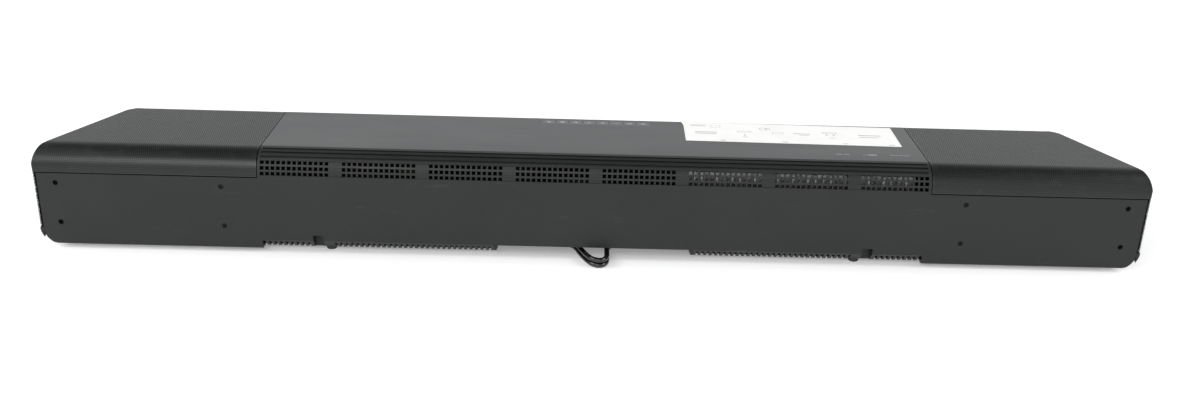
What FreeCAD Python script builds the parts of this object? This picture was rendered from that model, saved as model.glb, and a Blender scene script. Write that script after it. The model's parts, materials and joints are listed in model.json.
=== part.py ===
import FreeCAD, Part
import math
import os
from FreeCAD import Placement, Rotation, Vector

# A soundbar, in millimetres. X runs along the bar, -Y is the front that faces the
# listener, +Y is the rear, +Z is up. The origin is on the surface that it stands on.

# ---- Body ----
WIDTH = 1200.0             # over the ends, at the rear face
DEPTH = 145.0
BODY_H = 110.6
FOOT_H = 4.5               # the body's clearance above the surface
END_TAPER = 0.4167         # the ends run in by this much for each unit towards the front
REAR_TOP_R, FRONT_TOP_R, FRONT_LOW_R, REAR_LOW_R = 25.0, 4.0, 8.0, 2.9
END_TOP_R, END_LOW_R = 1.5, 19.0
FRONT_CORNER_R, REAR_CORNER_R = 30.0, 1.0
WALL = 3.0                 # moulded panels
SKIN = 2.0                 # perforated grilles
GAP = 0.3                  # clearance at a seam
LEAST_R = 1.2              # a smaller rounding inside a shell is left sharp

HALF_W, REAR_Y = WIDTH / 2, DEPTH / 2
BOTTOM, TOP = FOOT_H, FOOT_H + BODY_H
FLOOR_TOP = BOTTOM + WALL
END_SLANT = math.hypot(1, END_TAPER)

# ---- Seams ----
SEAM_X = 361.1             # centre section against the end grilles
SEAM_Z = 87.3              # lower edge of the end grilles on the rear
STRIP_Y = REAR_Y - REAR_TOP_R       # the vent strip starts where the top turns down
RIM_Z = 24.0               # top of the base pan's rim
FRONT_SEAM_Z = 108.0       # top panel against the front grille
PANEL_HALF = 596.0         # half the rear panel's width
PANEL_CORNER_R = 17.0

# ---- Vent strip along the rear's rounded edge ----
CHANNELS = 6
GROOVES = 3                # the upper channels have no holes
FIRST_CHANNEL_DEG, CHANNEL_STEP_DEG = 14.0, 14.16
HOLE, HOLE_PITCH = 3.9, 5.72
GROUP_HOLES, GROUP_PITCH, GROUP_GAP = (14, 14, 14, 13), 92.7, 14.4
CHANNEL_DEPTH, GROOVE_W, GROOVE_DEPTH = 0.8, 2.4, 1.6
STRIP_RIM = 3.0

# ---- Lower rear edge ----
RECESS_HALF, RECESS_H = 109.0, 9.75
SLOPE_H, SLOPE_RUN = 10.5, 10.5
SLOT_W, SLOT_PITCH, SLOT_TOP = 2.8, 6.0, 8.1
SLOT_ROWS = ((112.6, 285.0), (310.0, 358.0))
HOOK_X, HOOK_W, HOOK_H, HOOK_DEPTH, HOOK_WALL = 300.0, 11.3, 16.8, 12.0, 2.0
BASE_REAR_Y = 57.3         # where the base floor stops behind the sloped edge

# ---- Rear and base screws ----
REAR_SCREW_X, REAR_SCREW_Z = (576.5, 400.4), (76.2, 30.8)
SINK_DEPTHS = (5.0, 2.5)   # outer screws sit deeper than inner ones
SINK_R, SHANK_HOLE_R, BOSS_R, BOSS_END_Y = 2.9, 1.7, 5.5, 60.0
HEAD_R, HEAD_H, SHANK_R, CROSS_W, CROSS_DEPTH = 2.6, 1.8, 1.5, 0.9, 1.0
REAR_SHANK_END_Y, THREAD_CLEAR = 54.0, 0.05
BASE_SCREW_X, BASE_SCREW_Y, BASE_SCREW_L = (410.0, 520.0), (-40.0, 40.0), 9.0

# ---- Feet ----
FOOT_X, FOOT_W = 289.3, 11.0
FOOT_SPANS = ((36.0, 61.0), (-60.0, -35.0))

# ---- Cable bay ----
BAY_HALF, BAY_FRONT_Y, BAY_REAR_Y, BAY_TOP, BAY_WALL = 106.2, -18.0, 69.2, 52.0, 2.5
PORT_HALF, PORT_LOW, PORT_HIGH, PORT_T = 62.0, 31.0, 49.0, 1.0
SOCKET_Z = 40.0
HDMI_X, HDMI_W, HDMI_H = (-44.0, -20.0), 15.0, 5.6
USB_X, USB_W, USB_H = 6.0, 14.4, 7.0
OPTICAL_X, OPTICAL_W, OPTICAL_H = 34.0, 10.0, 10.0
SOCKET_FRONT_Y, SOCKET_BACK_Y, SOCKET_WALL, SOCKET_TONGUE = -15.9, -30.0, 0.5, 1.9

# ---- Frames and drivers ----
BAFFLE_HALF, BAFFLE_FRONT_Y, BAFFLE_T, BAFFLE_TOP = 380.0, -66.0, 3.5, 103.0
DRIVER_Z = 60.0
WOOFER_X, TWEETER_X = (-270.0, -90.0, 90.0, 270.0), (-350.0, 0.0, 350.0)
FRAME_T = 3.7
FRAME_X, FRAME_REAR_X = (390.0, 536.0), (382.0, 586.0)
FRAME_REAR_Y, FRAME_FRONT_Y, FRAME_TOP_Z = 59.7, -61.5, 100.0
TILT = math.radians(12.0)
UPFIRE_X, UPFIRE_Y, UPFIRE_Z = 460.0, -2.0, 84.0
FLANGE_T = 2.5             # of the drivers' baskets

WOOFER_HOLE_R, TWEETER_HOLE_R, UPFIRE_HOLE_R = 34.0, 15.0, 29.0
# flange radius, mouth radius, throat radius, depth
WOOFER_BASKET, UPFIRE_BASKET = (40.0, 33.0, 17.0, 22.0), (33.0, 27.0, 14.0, 18.0)
# radius, distance behind the flange, length
WOOFER_MAGNET, UPFIRE_MAGNET = (24.0, 22.3, 13.5), (19.0, 18.3, 12.0)
# inner radius, outer radius, height of the roll
WOOFER_SURROUND, UPFIRE_SURROUND = (26.0, 33.0, 3.2), (21.0, 27.0, 2.6)
# rim radius, neck radius, depth, dust cap radius, end of the coil
WOOFER_CONE, UPFIRE_CONE = (26.0, 8.0, 12.0, 10.0, 16.0), (21.0, 7.0, 9.5, 8.0, 12.5)
WADDING_X, WADDING_Y, WADDING_SIZE = 463.0, -2.0, (128.0, 96.0)
WADDING_Z, WADDING_R = (14.5, 44.0), 8.0

# ---- Electronics ----
BOARD_T, PEG_R = 1.6, 3.0
MAIN_X, MAIN_Y, MAIN_Z = (-104.0, 104.0), (-12.0, 62.0), 58.0
SIDE_Y, SIDE_Z = (-14.0, 45.0), 16.0      # the boards on the base
AMP_X, SUPPLY_X = (-340.0, -150.0), (140.0, 335.0)
# parts on each board: x, y, width, depth, height
MAIN_PARTS = ((-33.0, 36.0, 24.0, 24.0, 2.0), (40.0, 30.0, 14.0, 14.0, 1.6),
              (70.0, 10.0, 10.0, 18.0, 8.0), (88.0, 40.0, 12.0, 8.0, 5.0),
              (10.0, -4.0, 60.0, 8.0, 6.0))
AMP_PARTS = ((-310.0, 20.0, 16.0, 16.0, 12.0), (-270.0, 20.0, 16.0, 16.0, 12.0),
             (-230.0, 20.0, 16.0, 16.0, 12.0), (-180.0, 10.0, 22.0, 22.0, 26.0))
SUPPLY_PARTS = ((175.0, 18.0, 42.0, 36.0, 30.0), (235.0, 10.0, 24.0, 24.0, 34.0),
                (272.0, 28.0, 18.0, 18.0, 32.0), (312.0, 14.0, 26.0, 30.0, 22.0))
RADIO_X, RADIO_Y, RADIO_Z = (190.0, 222.0), (20.0, 44.0), 84.0
RADIO_PARTS = ((206.0, 32.0, 20.0, 16.0, 2.4),)
ANTENNA_X, ANTENNA_L, ANTENNA_Y, ANTENNA_Z = (-330.0, 286.0), 44.0, (24.0, 32.0), (108.0, 108.8)
DISPLAY_X, DISPLAY_Y, DISPLAY_Z = (146.0, 216.0), (-69.9, -66.3), (52.0, 68.0)
CAN_X, CAN_Y, CAN_Z, CAN_T = (-62.0, -4.0), (14.0, 58.0), (59.9, 68.0), 0.6
LOOM_D = 7.0
LOOM = ((-376.0, 0.0, 98.0), (-300.0, 3.0, 99.0), (-200.0, -3.0, 100.5), (-90.0, 2.0, 99.0),
        (20.0, 4.0, 100.5), (120.0, -2.0, 99.0), (230.0, -4.0, 100.0), (310.0, 1.0, 99.0),
        (376.0, 2.0, 98.0))
SINK_X, SINK_Y, SINK_Z = (-345.0, -95.0), (48.0, 52.0), (62.0, 104.0)
FIN_T, FIN_END_Y, FIN_PITCH = 1.6, 61.5, 8.2

# ---- Controls ----
KEYS, KEY_PITCH = 8, 15.6
KEY_W, KEY_D, KEY_R, KEY_CLEAR = 13.6, 11.0, 1.4, 0.3
BEZEL_W, BEZEL_D, BEZEL_Y, BEZEL_T, BEZEL_R = 127.0, 17.0, -57.5, 2.2, 2.0
FLANGE_W, FLANGE_D, FLANGE_Z = 15.0, 13.4, (110.9, 111.8)
STEM_R, STEM_END_Z, SWITCH, SWITCH_TOP_Z = 1.5, 110.3, 6.0, 109.5
CONTROL_BOARD_Z, CONTROL_BOARD_HALF, CONTROL_BOARD_D = 105.0, 66.0, 15.0

# ---- Label ----
LABEL_W, LABEL_D, LABEL_T = 242.5, 65.5, 0.2
LABEL_X, LABEL_Y, LABEL_TURN = -222.5, -34.8, -0.9
CURL_SIZE, CURL_RISE = 9.0, 2.4

# ---- Mains cord ----
CORD_D = 5.6
LANE = 5.9                 # centre to centre of strands that lie together
HANK_Y, HANK_HALF_RUN, HANK_R = 12.1, 45.0, 24.4     # of the outer turns' centre line
HANK_LAYERS = 2
PINCH = 3.6                # how far the tie draws each side of the hank in
TIE_X, TIE_W, TIE_T = -31.0, 11.0, 1.2
LOBE = ((31.5, 37.2), (23.0, 40.6), (18.4, 49.5), (15.0, 60.5), (10.6, 71.5), (6.0, 81.5),
        (0.5, 89.0), (-6.5, 92.0), (-12.4, 88.2), (-14.8, 79.5), (-14.6, 68.0), (-14.3, 56.0),
        (-16.0, 45.0), (-20.5, 37.0))
GLAND_Y, GLAND_Z, GLAND_END_X = 36.0, 30.0, 84.0
GLAND_R, GLAND_TIP_R, GLAND_HOLE_R = 6.0, 4.0, 4.6
LEAD = ((84.0, 36.0, 30.0), (76.0, 36.0, 30.0), (66.5, 36.2, 27.0), (57.0, 36.4, 20.0),
        (48.0, 36.6, 13.2), (39.0, 36.7, 9.6), (30.5, 37.4, 8.7))
TAIL = ((37.0, -12.4, 2.9), (50.0, -13.4, 3.1), (63.0, -11.0, 5.4), (74.0, -3.0, 9.6),
        (78.5, 9.0, 14.0), (74.0, 20.0, 17.4), (63.0, 26.0, 18.8), (50.0, 26.0, 19.0),
        (39.0, 23.6, 19.0))
PLUG_W, PLUG_T, PLUG_L, PLUG_NOSE_L = 35.0, 13.5, 36.0, 18.0
PIN_R, PIN_L, PIN_GAP, RELIEF_R = 2.0, 19.0, 19.0, 4.0
TINY = 1e-6


def xy(z):
    return lambda a, b: Vector(a, b, z)


def yz(x):
    return lambda a, b: Vector(x, a, b)


def xz(y):
    return lambda a, b: Vector(a, y, b)


def outline(corners, place):
    """Flat face through the corners (a, b, radius), each rounded to its radius."""
    stretches = []
    for i, (a, b, radius) in enumerate(corners):
        here = Vector(a, b, 0)
        back = (Vector(*corners[i - 1][:2], 0) - here).normalize()
        ahead = (Vector(*corners[(i + 1) % len(corners)][:2], 0) - here).normalize()
        half = back.getAngle(ahead) / 2
        inward = (back + ahead).normalize()
        centre = here + inward * (radius / math.sin(half))
        reach = radius / math.tan(half)
        arc = (here + back * reach, centre - inward * radius, here + ahead * reach)
        stretches.append([place(p.x, p.y) for p in arc])
    edges = []
    for i, (start, middle, stop) in enumerate(stretches):
        following = stretches[(i + 1) % len(stretches)][0]
        if start.distanceToPoint(stop) > TINY:
            edges.append(Part.Arc(start, middle, stop).toShape())
        if stop.distanceToPoint(following) > TINY:
            edges.append(Part.LineSegment(stop, following).toShape())
    return Part.Face(Part.Wire(edges))


def prism(corners, place, direction):
    return outline(corners, place).extrude(Vector(*direction))


def polygon(points, place, direction):
    return prism([(a, b, 0) for a, b in points], place, direction)


def block(x, y, z):
    """Box from three (low, high) pairs."""
    return Part.makeBox(x[1] - x[0], y[1] - y[0], z[1] - z[0], Vector(x[0], y[0], z[0]))


def tablet(centre, size, z, radius):
    """Upright rounded rectangle, centre and size in X and Y, between two heights."""
    (x, y), (w, d) = centre, (size[0] / 2, size[1] / 2)
    corners = [(x - w, y - d, radius), (x + w, y - d, radius),
               (x + w, y + d, radius), (x - w, y + d, radius)]
    return prism(corners, xy(z[0]), (0, 0, z[1] - z[0]))


def rod(start, stop, radius, tip_radius=None):
    """Round bar between two points, tapered if a tip radius is given."""
    start, along = Vector(*start), Vector(*stop) - Vector(*start)
    if tip_radius is None:
        return Part.makeCylinder(radius, along.Length, start, along)
    return Part.makeCone(radius, tip_radius, along.Length, start, along)


def turned(points):
    """Solid of revolution about Z from a closed outline of (radius, height)."""
    face = Part.Face(Part.makePolygon([Vector(r, 0, z) for r, z in points + points[:1]]))
    return face.revolve(Vector(0, 0, 0), Vector(0, 0, 1), 360)


def put(shape, position, direction):
    """A shape made about Z, moved to a position with its Z turned along direction."""
    moved = shape.copy()
    turn = Rotation(Vector(0, 0, 1), Vector(*direction))
    moved.Placement = Placement(Vector(*position), turn).multiply(moved.Placement)
    return moved


def mirrored(shape):
    return shape.mirror(Vector(0, 0, 0), Vector(1, 0, 0))


def fused(shapes):
    first, *others = shapes
    return first.multiFuse(others).removeSplitter() if others else first


def save(node, *shapes):
    """Writes one node's solids, with a check that each is whole."""
    solids = [solid for shape in shapes for solid in shape.Solids]
    whole = solids[0] if len(solids) == 1 else Part.makeCompound(solids)
    box = whole.BoundBox
    state = "" if whole.isValid() else "  NOT VALID"
    print(f"{node:22s} solids {len(solids):2d} volume {whole.Volume:12.1f} "
          f"x {box.XMin:7.1f} {box.XMax:7.1f} y {box.YMin:6.1f} {box.YMax:6.1f} "
          f"z {box.ZMin:6.1f} {box.ZMax:6.1f}{state}")
    whole.exportStep(f"parts/{node}.step")


# ---------------------------------------------------------------- outer form

def end_reach(y, inset=0.0):
    """Half the body's width at a depth."""
    return HALF_W - inset * END_SLANT - END_TAPER * (REAR_Y - y)


def envelope(inset):
    """The body's outer form, drawn in by inset on every side."""
    rear, low, top = REAR_Y - inset, BOTTOM + inset, TOP - inset

    def drawn(radius):
        return radius - inset if radius - inset > LEAST_R else 0

    side = [(rear, low, drawn(REAR_LOW_R)), (rear, top, drawn(REAR_TOP_R)),
            (-rear, top, drawn(FRONT_TOP_R)), (-rear, low, drawn(FRONT_LOW_R))]
    body = prism(side, yz(-WIDTH), (2 * WIDTH, 0, 0))
    plan = []
    for sign, y, radius in ((1, -rear, FRONT_CORNER_R), (1, rear, REAR_CORNER_R),
                            (-1, rear, REAR_CORNER_R), (-1, -rear, FRONT_CORNER_R)):
        plan.append((sign * end_reach(y, inset), y, drawn(radius)))
    body = body.common(prism(plan, xy(0), (0, 0, 2 * TOP)))
    start_y = REAR_Y + WALL
    for sign in (1, -1):
        reach = sign * end_reach(start_y, inset)
        end = [(-sign * WIDTH, low, 0), (reach, low, drawn(END_LOW_R)),
               (reach, top, drawn(END_TOP_R)), (-sign * WIDTH, top, 0)]
        run = DEPTH + 2 * WALL
        body = body.common(prism(end, xz(start_y), (-sign * END_TAPER * run, -run, 0)))
    return body


def panel_pocket(clear):
    """The room that the rear panel's flat part takes, with a clearance round it."""
    half = PANEL_HALF + clear
    return block((-half, half), (REAR_Y - WALL - clear, REAR_Y + WALL), (0, SEAM_Z + clear))


# ---------------------------------------------------------------- rear panel

def strip_tool(angle_deg, width, depth_from, depth_to, x):
    """Cutter on the rounded edge: a box at an angle from upright, between two depths."""
    angle = math.radians(angle_deg)
    cutter = block(x, (-width / 2, width / 2), (REAR_TOP_R - depth_to, REAR_TOP_R - depth_from))
    cutter.rotate(Vector(0, 0, 0), Vector(1, 0, 0), -math.degrees(angle))
    cutter.translate(Vector(0, STRIP_Y, TOP - REAR_TOP_R))
    return cutter


def hole_centres():
    """X of every vent hole in one row."""
    side = []
    for group, count in enumerate(GROUP_HOLES):
        first = (GROUP_GAP + HOLE) / 2 + group * GROUP_PITCH
        side += [first + i * HOLE_PITCH for i in range(count)]
    return [-x for x in side] + side


def vent_cutters():
    """Grooves on the upper part of the strip, and channels with holes below them."""
    cutters = []
    half = SEAM_X - GAP - STRIP_RIM
    for i in range(CHANNELS):
        angle = FIRST_CHANNEL_DEG + i * CHANNEL_STEP_DEG
        if i < GROOVES:
            cutters.append(strip_tool(angle, GROOVE_W, -WALL, GROOVE_DEPTH, (-half, half)))
            continue
        cutters.append(strip_tool(angle, HOLE, -WALL, CHANNEL_DEPTH, (-half, half)))
        for x in hole_centres():
            span = (x - HOLE / 2, x + HOLE / 2)
            cutters.append(strip_tool(angle, HOLE, -WALL, 2 * WALL, span))
    return cutters


def lower_edge():
    """Sloped, slotted lower edge and the wall-hook pocket, for the +X half."""
    z0, z1 = BOTTOM, BOTTOM + SLOPE_H
    thick = WALL * math.sqrt(2)
    wall = [(REAR_Y, z1), (REAR_Y - SLOPE_RUN, z0), (REAR_Y - SLOPE_RUN - thick, z0),
            (REAR_Y - WALL, z1 + thick - WALL), (REAR_Y - WALL, z1 + thick),
            (REAR_Y, z1 + thick)]
    reach = SEAM_X - GAP - RECESS_HALF
    slope = polygon(wall, yz(RECESS_HALF), (reach, 0, 0))
    slots = []
    for start, stop in SLOT_ROWS:
        for i in range(int((stop - start) / SLOT_PITCH) + 1):
            x = start + i * SLOT_PITCH
            slots.append(block((x, x + SLOT_W), (0, REAR_Y + WALL), (0, z0 + SLOT_TOP)))
    slope = slope.cut(Part.makeCompound(slots))
    top = z0 + HOOK_H + HOOK_WALL
    front = REAR_Y - HOOK_DEPTH - HOOK_WALL
    half = HOOK_W / 2 + HOOK_WALL
    pocket = [(REAR_Y, top), (REAR_Y, z1), (REAR_Y - SLOPE_RUN, z0), (front, z0), (front, top)]
    return [slope, polygon(pocket, yz(HOOK_X - half), (2 * half, 0, 0))]


def hook_notch():
    half = HOOK_W / 2
    return block((HOOK_X - half, HOOK_X + half), (REAR_Y - HOOK_DEPTH, REAR_Y + WALL),
                 (0, BOTTOM + HOOK_H))


def rear_screw_places():
    """(x, z, depth of the countersink) of each rear screw."""
    return [(side * x, z, depth) for side in (1, -1)
            for x, depth in zip(REAR_SCREW_X, SINK_DEPTHS) for z in REAR_SCREW_Z]


def rear_panel(outer, inner):
    top = SEAM_Z - GAP
    flat = [(PANEL_HALF, top, 0), (PANEL_HALF, BOTTOM, PANEL_CORNER_R),
            (-PANEL_HALF, BOTTOM, PANEL_CORNER_R), (-PANEL_HALF, top, 0)]
    plate = prism(flat, xz(REAR_Y - WALL), (0, WALL, 0))
    edge = [(REAR_Y, BOTTOM, REAR_LOW_R), (REAR_Y, TOP, 0), (0, TOP, 0), (0, BOTTOM, 0)]
    plate = plate.common(prism(edge, yz(-WIDTH), (2 * WIDTH, 0, 0)))
    half = SEAM_X - GAP
    plate = plate.cut(block((-half, half), (0, DEPTH), (0, BOTTOM + SLOPE_H)))
    strip = outer.cut(inner).common(block((-half, half), (STRIP_Y + GAP, DEPTH), (top - WALL, TOP)))
    pieces = [plate, strip]
    for part in lower_edge():
        pieces += [part, mirrored(part)]
    for x, z, _ in rear_screw_places():
        pieces.append(rod((x, REAR_Y - WALL / 2, z), (x, BOSS_END_Y, z), BOSS_R))
    panel = fused(pieces)
    cutters = [hook_notch(), mirrored(hook_notch()),
               block((-RECESS_HALF, RECESS_HALF), (0, DEPTH), (0, BOTTOM + RECESS_H))]
    for x, z, depth in rear_screw_places():
        cutters.append(rod((x, REAR_Y + WALL, z), (x, REAR_Y - depth, z), SINK_R))
        cutters.append(rod((x, REAR_Y, z), (x, BOSS_END_Y - WALL, z), SHANK_HOLE_R))
    return panel.cut(Part.makeCompound(cutters)).cut(Part.makeCompound(vent_cutters()))


def screw(head, tip):
    """Cross-head screw from its head's outer face to its tip."""
    head, tip = Vector(*head), Vector(*tip)
    along = (tip - head).normalize()
    body = fused([rod(head, head + along * HEAD_H, HEAD_R), rod(head + along, tip, SHANK_R)])
    cross = []
    for angle in (0, 90):
        arm = Part.makeBox(CROSS_W, 2 * SHANK_R + CROSS_W, CROSS_DEPTH,
                           Vector(-CROSS_W / 2, -SHANK_R - CROSS_W / 2, 0))
        arm.rotate(Vector(0, 0, 0), Vector(0, 0, 1), angle)
        cross.append(put(arm, head, along))
    return body.cut(Part.makeCompound(cross))


def rear_screws():
    return [screw((x, REAR_Y - depth + HEAD_H + THREAD_CLEAR, z), (x, REAR_SHANK_END_Y, z))
            for x, z, depth in rear_screw_places()]


# ---------------------------------------------------------------- other shell parts

def base_screw_places():
    return [(side * x, y) for side in (1, -1) for x in BASE_SCREW_X for y in BASE_SCREW_Y]


def base_pan(outer, inner):
    """Floor with a rounded rim up the front and the ends, open under the cable bay."""
    pan = outer.cut(inner).common(block((-WIDTH, WIDTH), (-DEPTH, DEPTH), (0, RIM_Z)))
    half = SEAM_X
    bay = BAY_HALF
    cutters = [panel_pocket(GAP), block((-half, half), (BASE_REAR_Y, DEPTH), (0, TOP)),
               block((-bay, bay), (BAY_FRONT_Y, DEPTH), (0, RIM_Z))]
    for x, y in base_screw_places():
        cutters.append(rod((x, y, 0), (x, y, RIM_Z), HEAD_R + GAP))
    return pan.cut(Part.makeCompound(cutters))


def base_screws():
    z = BOTTOM + GAP
    return [screw((x, y, z), (x, y, z + BASE_SCREW_L)) for x, y in base_screw_places()]


def feet():
    shapes = []
    for low, high in FOOT_SPANS:
        for x in (-FOOT_X, FOOT_X):
            centre, size = (x, (low + high) / 2), (FOOT_W, high - low)
            foot = tablet(centre, size, (0, FOOT_H), FOOT_W / 2 - LEAST_R / 4)
            lower = [edge for edge in foot.Edges if edge.BoundBox.ZMax < TINY]
            shapes.append(foot.makeFillet(LEAST_R, lower))
    return shapes


def end_grille(outer, inner):
    """Perforated end cap of the +X end: top, rear band, end and front corner."""
    region = block((SEAM_X, WIDTH), (-DEPTH, DEPTH), (RIM_Z + GAP, 2 * TOP))
    return outer.cut(inner).common(region).cut(panel_pocket(GAP))


def front_grille():
    half = SEAM_X - GAP
    return block((-half, half), (-REAR_Y, SKIN - REAR_Y), (RIM_Z + GAP, FRONT_SEAM_Z - GAP))


def key_centres():
    return [(i - (KEYS - 1) / 2) * KEY_PITCH for i in range(KEYS)]


def top_panel(outer, inner):
    half = SEAM_X - GAP
    region = block((-half, half), (-DEPTH, STRIP_Y), (FRONT_SEAM_Z, 2 * TOP))
    panel = outer.cut(inner).common(region)
    size = (BEZEL_W + GAP, BEZEL_D + GAP)
    cutters = [tablet((0, BEZEL_Y), size, (TOP - BEZEL_T, TOP + WALL), BEZEL_R)]
    for x in key_centres():
        window = (KEY_W + 4 * KEY_CLEAR, KEY_D + 4 * KEY_CLEAR)
        cutters.append(tablet((x, BEZEL_Y), window, (FRONT_SEAM_Z, TOP), KEY_R))
    return panel.cut(Part.makeCompound(cutters))


# ---------------------------------------------------------------- controls and label

def control_bezel():
    bezel = tablet((0, BEZEL_Y), (BEZEL_W, BEZEL_D), (TOP - BEZEL_T, TOP), BEZEL_R)
    window = (KEY_W + 2 * KEY_CLEAR, KEY_D + 2 * KEY_CLEAR)
    cutters = [tablet((x, BEZEL_Y), window, (FRONT_SEAM_Z, TOP + WALL), KEY_R + KEY_CLEAR)
               for x in key_centres()]
    return bezel.cut(Part.makeCompound(cutters))


def key(x):
    """Push key: cap, retaining flange under the panel, and stem over its switch."""
    cap = tablet((x, BEZEL_Y), (KEY_W, KEY_D), (FLANGE_Z[0], TOP), KEY_R)
    flange = tablet((x, BEZEL_Y), (FLANGE_W, FLANGE_D), FLANGE_Z, KEY_R)
    stem = rod((x, BEZEL_Y, STEM_END_Z), (x, BEZEL_Y, FLANGE_Z[1]), STEM_R)
    return fused([cap, flange, stem])


def control_board():
    z = CONTROL_BOARD_Z
    half, deep = CONTROL_BOARD_HALF, CONTROL_BOARD_D / 2
    return block((-half, half), (BEZEL_Y - deep, BEZEL_Y + deep), (z, z + BOARD_T))


def key_switches():
    low, half = CONTROL_BOARD_Z + BOARD_T, SWITCH / 2
    middle = SWITCH_TOP_Z - BOARD_T / 2
    shapes = []
    for x in key_centres():
        case = block((x - half, x + half), (BEZEL_Y - half, BEZEL_Y + half), (low, middle))
        dome = rod((x, BEZEL_Y, low), (x, BEZEL_Y, SWITCH_TOP_Z), STEM_R)
        shapes.append(fused([case, dome]))
    return shapes


def info_label():
    """Paper label on the top panel, with one corner lifted."""
    half = (LABEL_W / 2, LABEL_D / 2)
    cut = CURL_SIZE
    flat = [(-half[0], -half[1]), (half[0] - cut, -half[1]), (half[0], cut - half[1]),
            (half[0], half[1]), (-half[0], half[1])]
    sheet = polygon(flat, xy(0), (0, 0, LABEL_T))
    corner = [Vector(half[0] - cut, -half[1], 0), Vector(half[0], cut - half[1], 0),
              Vector(half[0], -half[1], CURL_RISE)]
    flap = Part.Face(Part.makePolygon(corner + corner[:1])).extrude(Vector(0, 0, LABEL_T))
    label = sheet.fuse(flap)
    label.rotate(Vector(0, 0, 0), Vector(0, 0, 1), LABEL_TURN)
    label.translate(Vector(LABEL_X, LABEL_Y, TOP))
    return label


# ---------------------------------------------------------------- cable bay

def socket_openings(clear):
    """(x, width, height) of each socket, grown by a clearance."""
    sizes = [(x, HDMI_W, HDMI_H) for x in HDMI_X]
    sizes += [(USB_X, USB_W, USB_H), (OPTICAL_X, OPTICAL_W, OPTICAL_H)]
    return [(x, w + 2 * clear, h + 2 * clear) for x, w, h in sizes]


def socket_block(x, w, h, y):
    return block((x - w / 2, x + w / 2), y, (SOCKET_Z - h / 2, SOCKET_Z + h / 2))


def cable_bay():
    """Tub over the cables: front wall, two side walls and a roof, open below and behind."""
    out = BAY_WALL
    tub = block((-BAY_HALF, BAY_HALF), (BAY_FRONT_Y, BAY_REAR_Y), (FLOOR_TOP + GAP, BAY_TOP))
    solid = block((-BAY_HALF - out, BAY_HALF + out), (BAY_FRONT_Y - out, BAY_REAR_Y),
                  (FLOOR_TOP + GAP, BAY_TOP + out))
    reach = BAY_REAR_Y + out
    cutters = [tub, block((-BAY_HALF, BAY_HALF), (BAY_FRONT_Y, reach), (0, BAY_TOP))]
    for x, w, h in socket_openings(2 * GAP):
        cutters.append(socket_block(x, w, h, (BAY_FRONT_Y - 2 * out, BAY_FRONT_Y + out)))
    cutters.append(rod((BAY_HALF - out, GLAND_Y, GLAND_Z), (BAY_HALF + 2 * out, GLAND_Y, GLAND_Z),
                       GLAND_HOLE_R))
    return solid.cut(Part.makeCompound(cutters))


def port_plate():
    y = (BAY_FRONT_Y, BAY_FRONT_Y + PORT_T)
    plate = block((-PORT_HALF, PORT_HALF), y, (PORT_LOW, PORT_HIGH))
    holes = [socket_block(x, w, h, (BAY_FRONT_Y - PORT_T, BAY_FRONT_Y + 2 * PORT_T))
             for x, w, h in socket_openings(GAP)]
    return plate.cut(Part.makeCompound(holes))


def shell_socket(x, w, h):
    """Metal-shelled socket with its contact tongue."""
    case = socket_block(x, w, h, (SOCKET_BACK_Y, SOCKET_FRONT_Y))
    depth = (SOCKET_BACK_Y + 3 * SOCKET_WALL, SOCKET_FRONT_Y + SOCKET_WALL)
    hollow = socket_block(x, w - 2 * SOCKET_WALL, h - 2 * SOCKET_WALL, depth)
    tongue = (SOCKET_BACK_Y + SOCKET_WALL, SOCKET_FRONT_Y - 4 * SOCKET_WALL)
    return fused([case.cut(hollow), socket_block(x, w - 8 * SOCKET_WALL, SOCKET_TONGUE, tongue)])


def optical_socket():
    """Optical socket behind its closed shutter."""
    case = socket_block(OPTICAL_X, OPTICAL_W, OPTICAL_H, (SOCKET_BACK_Y, SOCKET_FRONT_Y))
    inset = OPTICAL_W - 4 * SOCKET_WALL
    front = (SOCKET_FRONT_Y - SOCKET_WALL, SOCKET_FRONT_Y + SOCKET_WALL)
    return case.cut(socket_block(OPTICAL_X, inset, inset, front))


def cord_gland():
    """Tapered strain relief on the bay's +X wall, with a shank through the wall."""
    axis = (GLAND_Y, GLAND_Z)
    cone = rod((BAY_HALF, *axis), (GLAND_END_X, *axis), GLAND_R, GLAND_TIP_R)
    shank_r = GLAND_HOLE_R - GAP
    shank = rod((BAY_HALF, *axis), (BAY_HALF + 3 * BAY_WALL, *axis), shank_r)
    return fused([cone, shank])


# ---------------------------------------------------------------- frames and drivers

def front_baffle():
    y = (BAFFLE_FRONT_Y, BAFFLE_FRONT_Y + BAFFLE_T)
    plate = block((-BAFFLE_HALF, BAFFLE_HALF), y, (FLOOR_TOP + GAP, BAFFLE_TOP))
    holes = []
    for places, radius in ((WOOFER_X, WOOFER_HOLE_R), (TWEETER_X, TWEETER_HOLE_R)):
        holes += [rod((x, y[0] - WALL, DRIVER_Z), (x, y[1] + WALL, DRIVER_Z), radius)
                  for x in places]
    return plate.cut(Part.makeCompound(holes))


def upfire_axis():
    return (0.0, -math.sin(TILT), math.cos(TILT))


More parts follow.
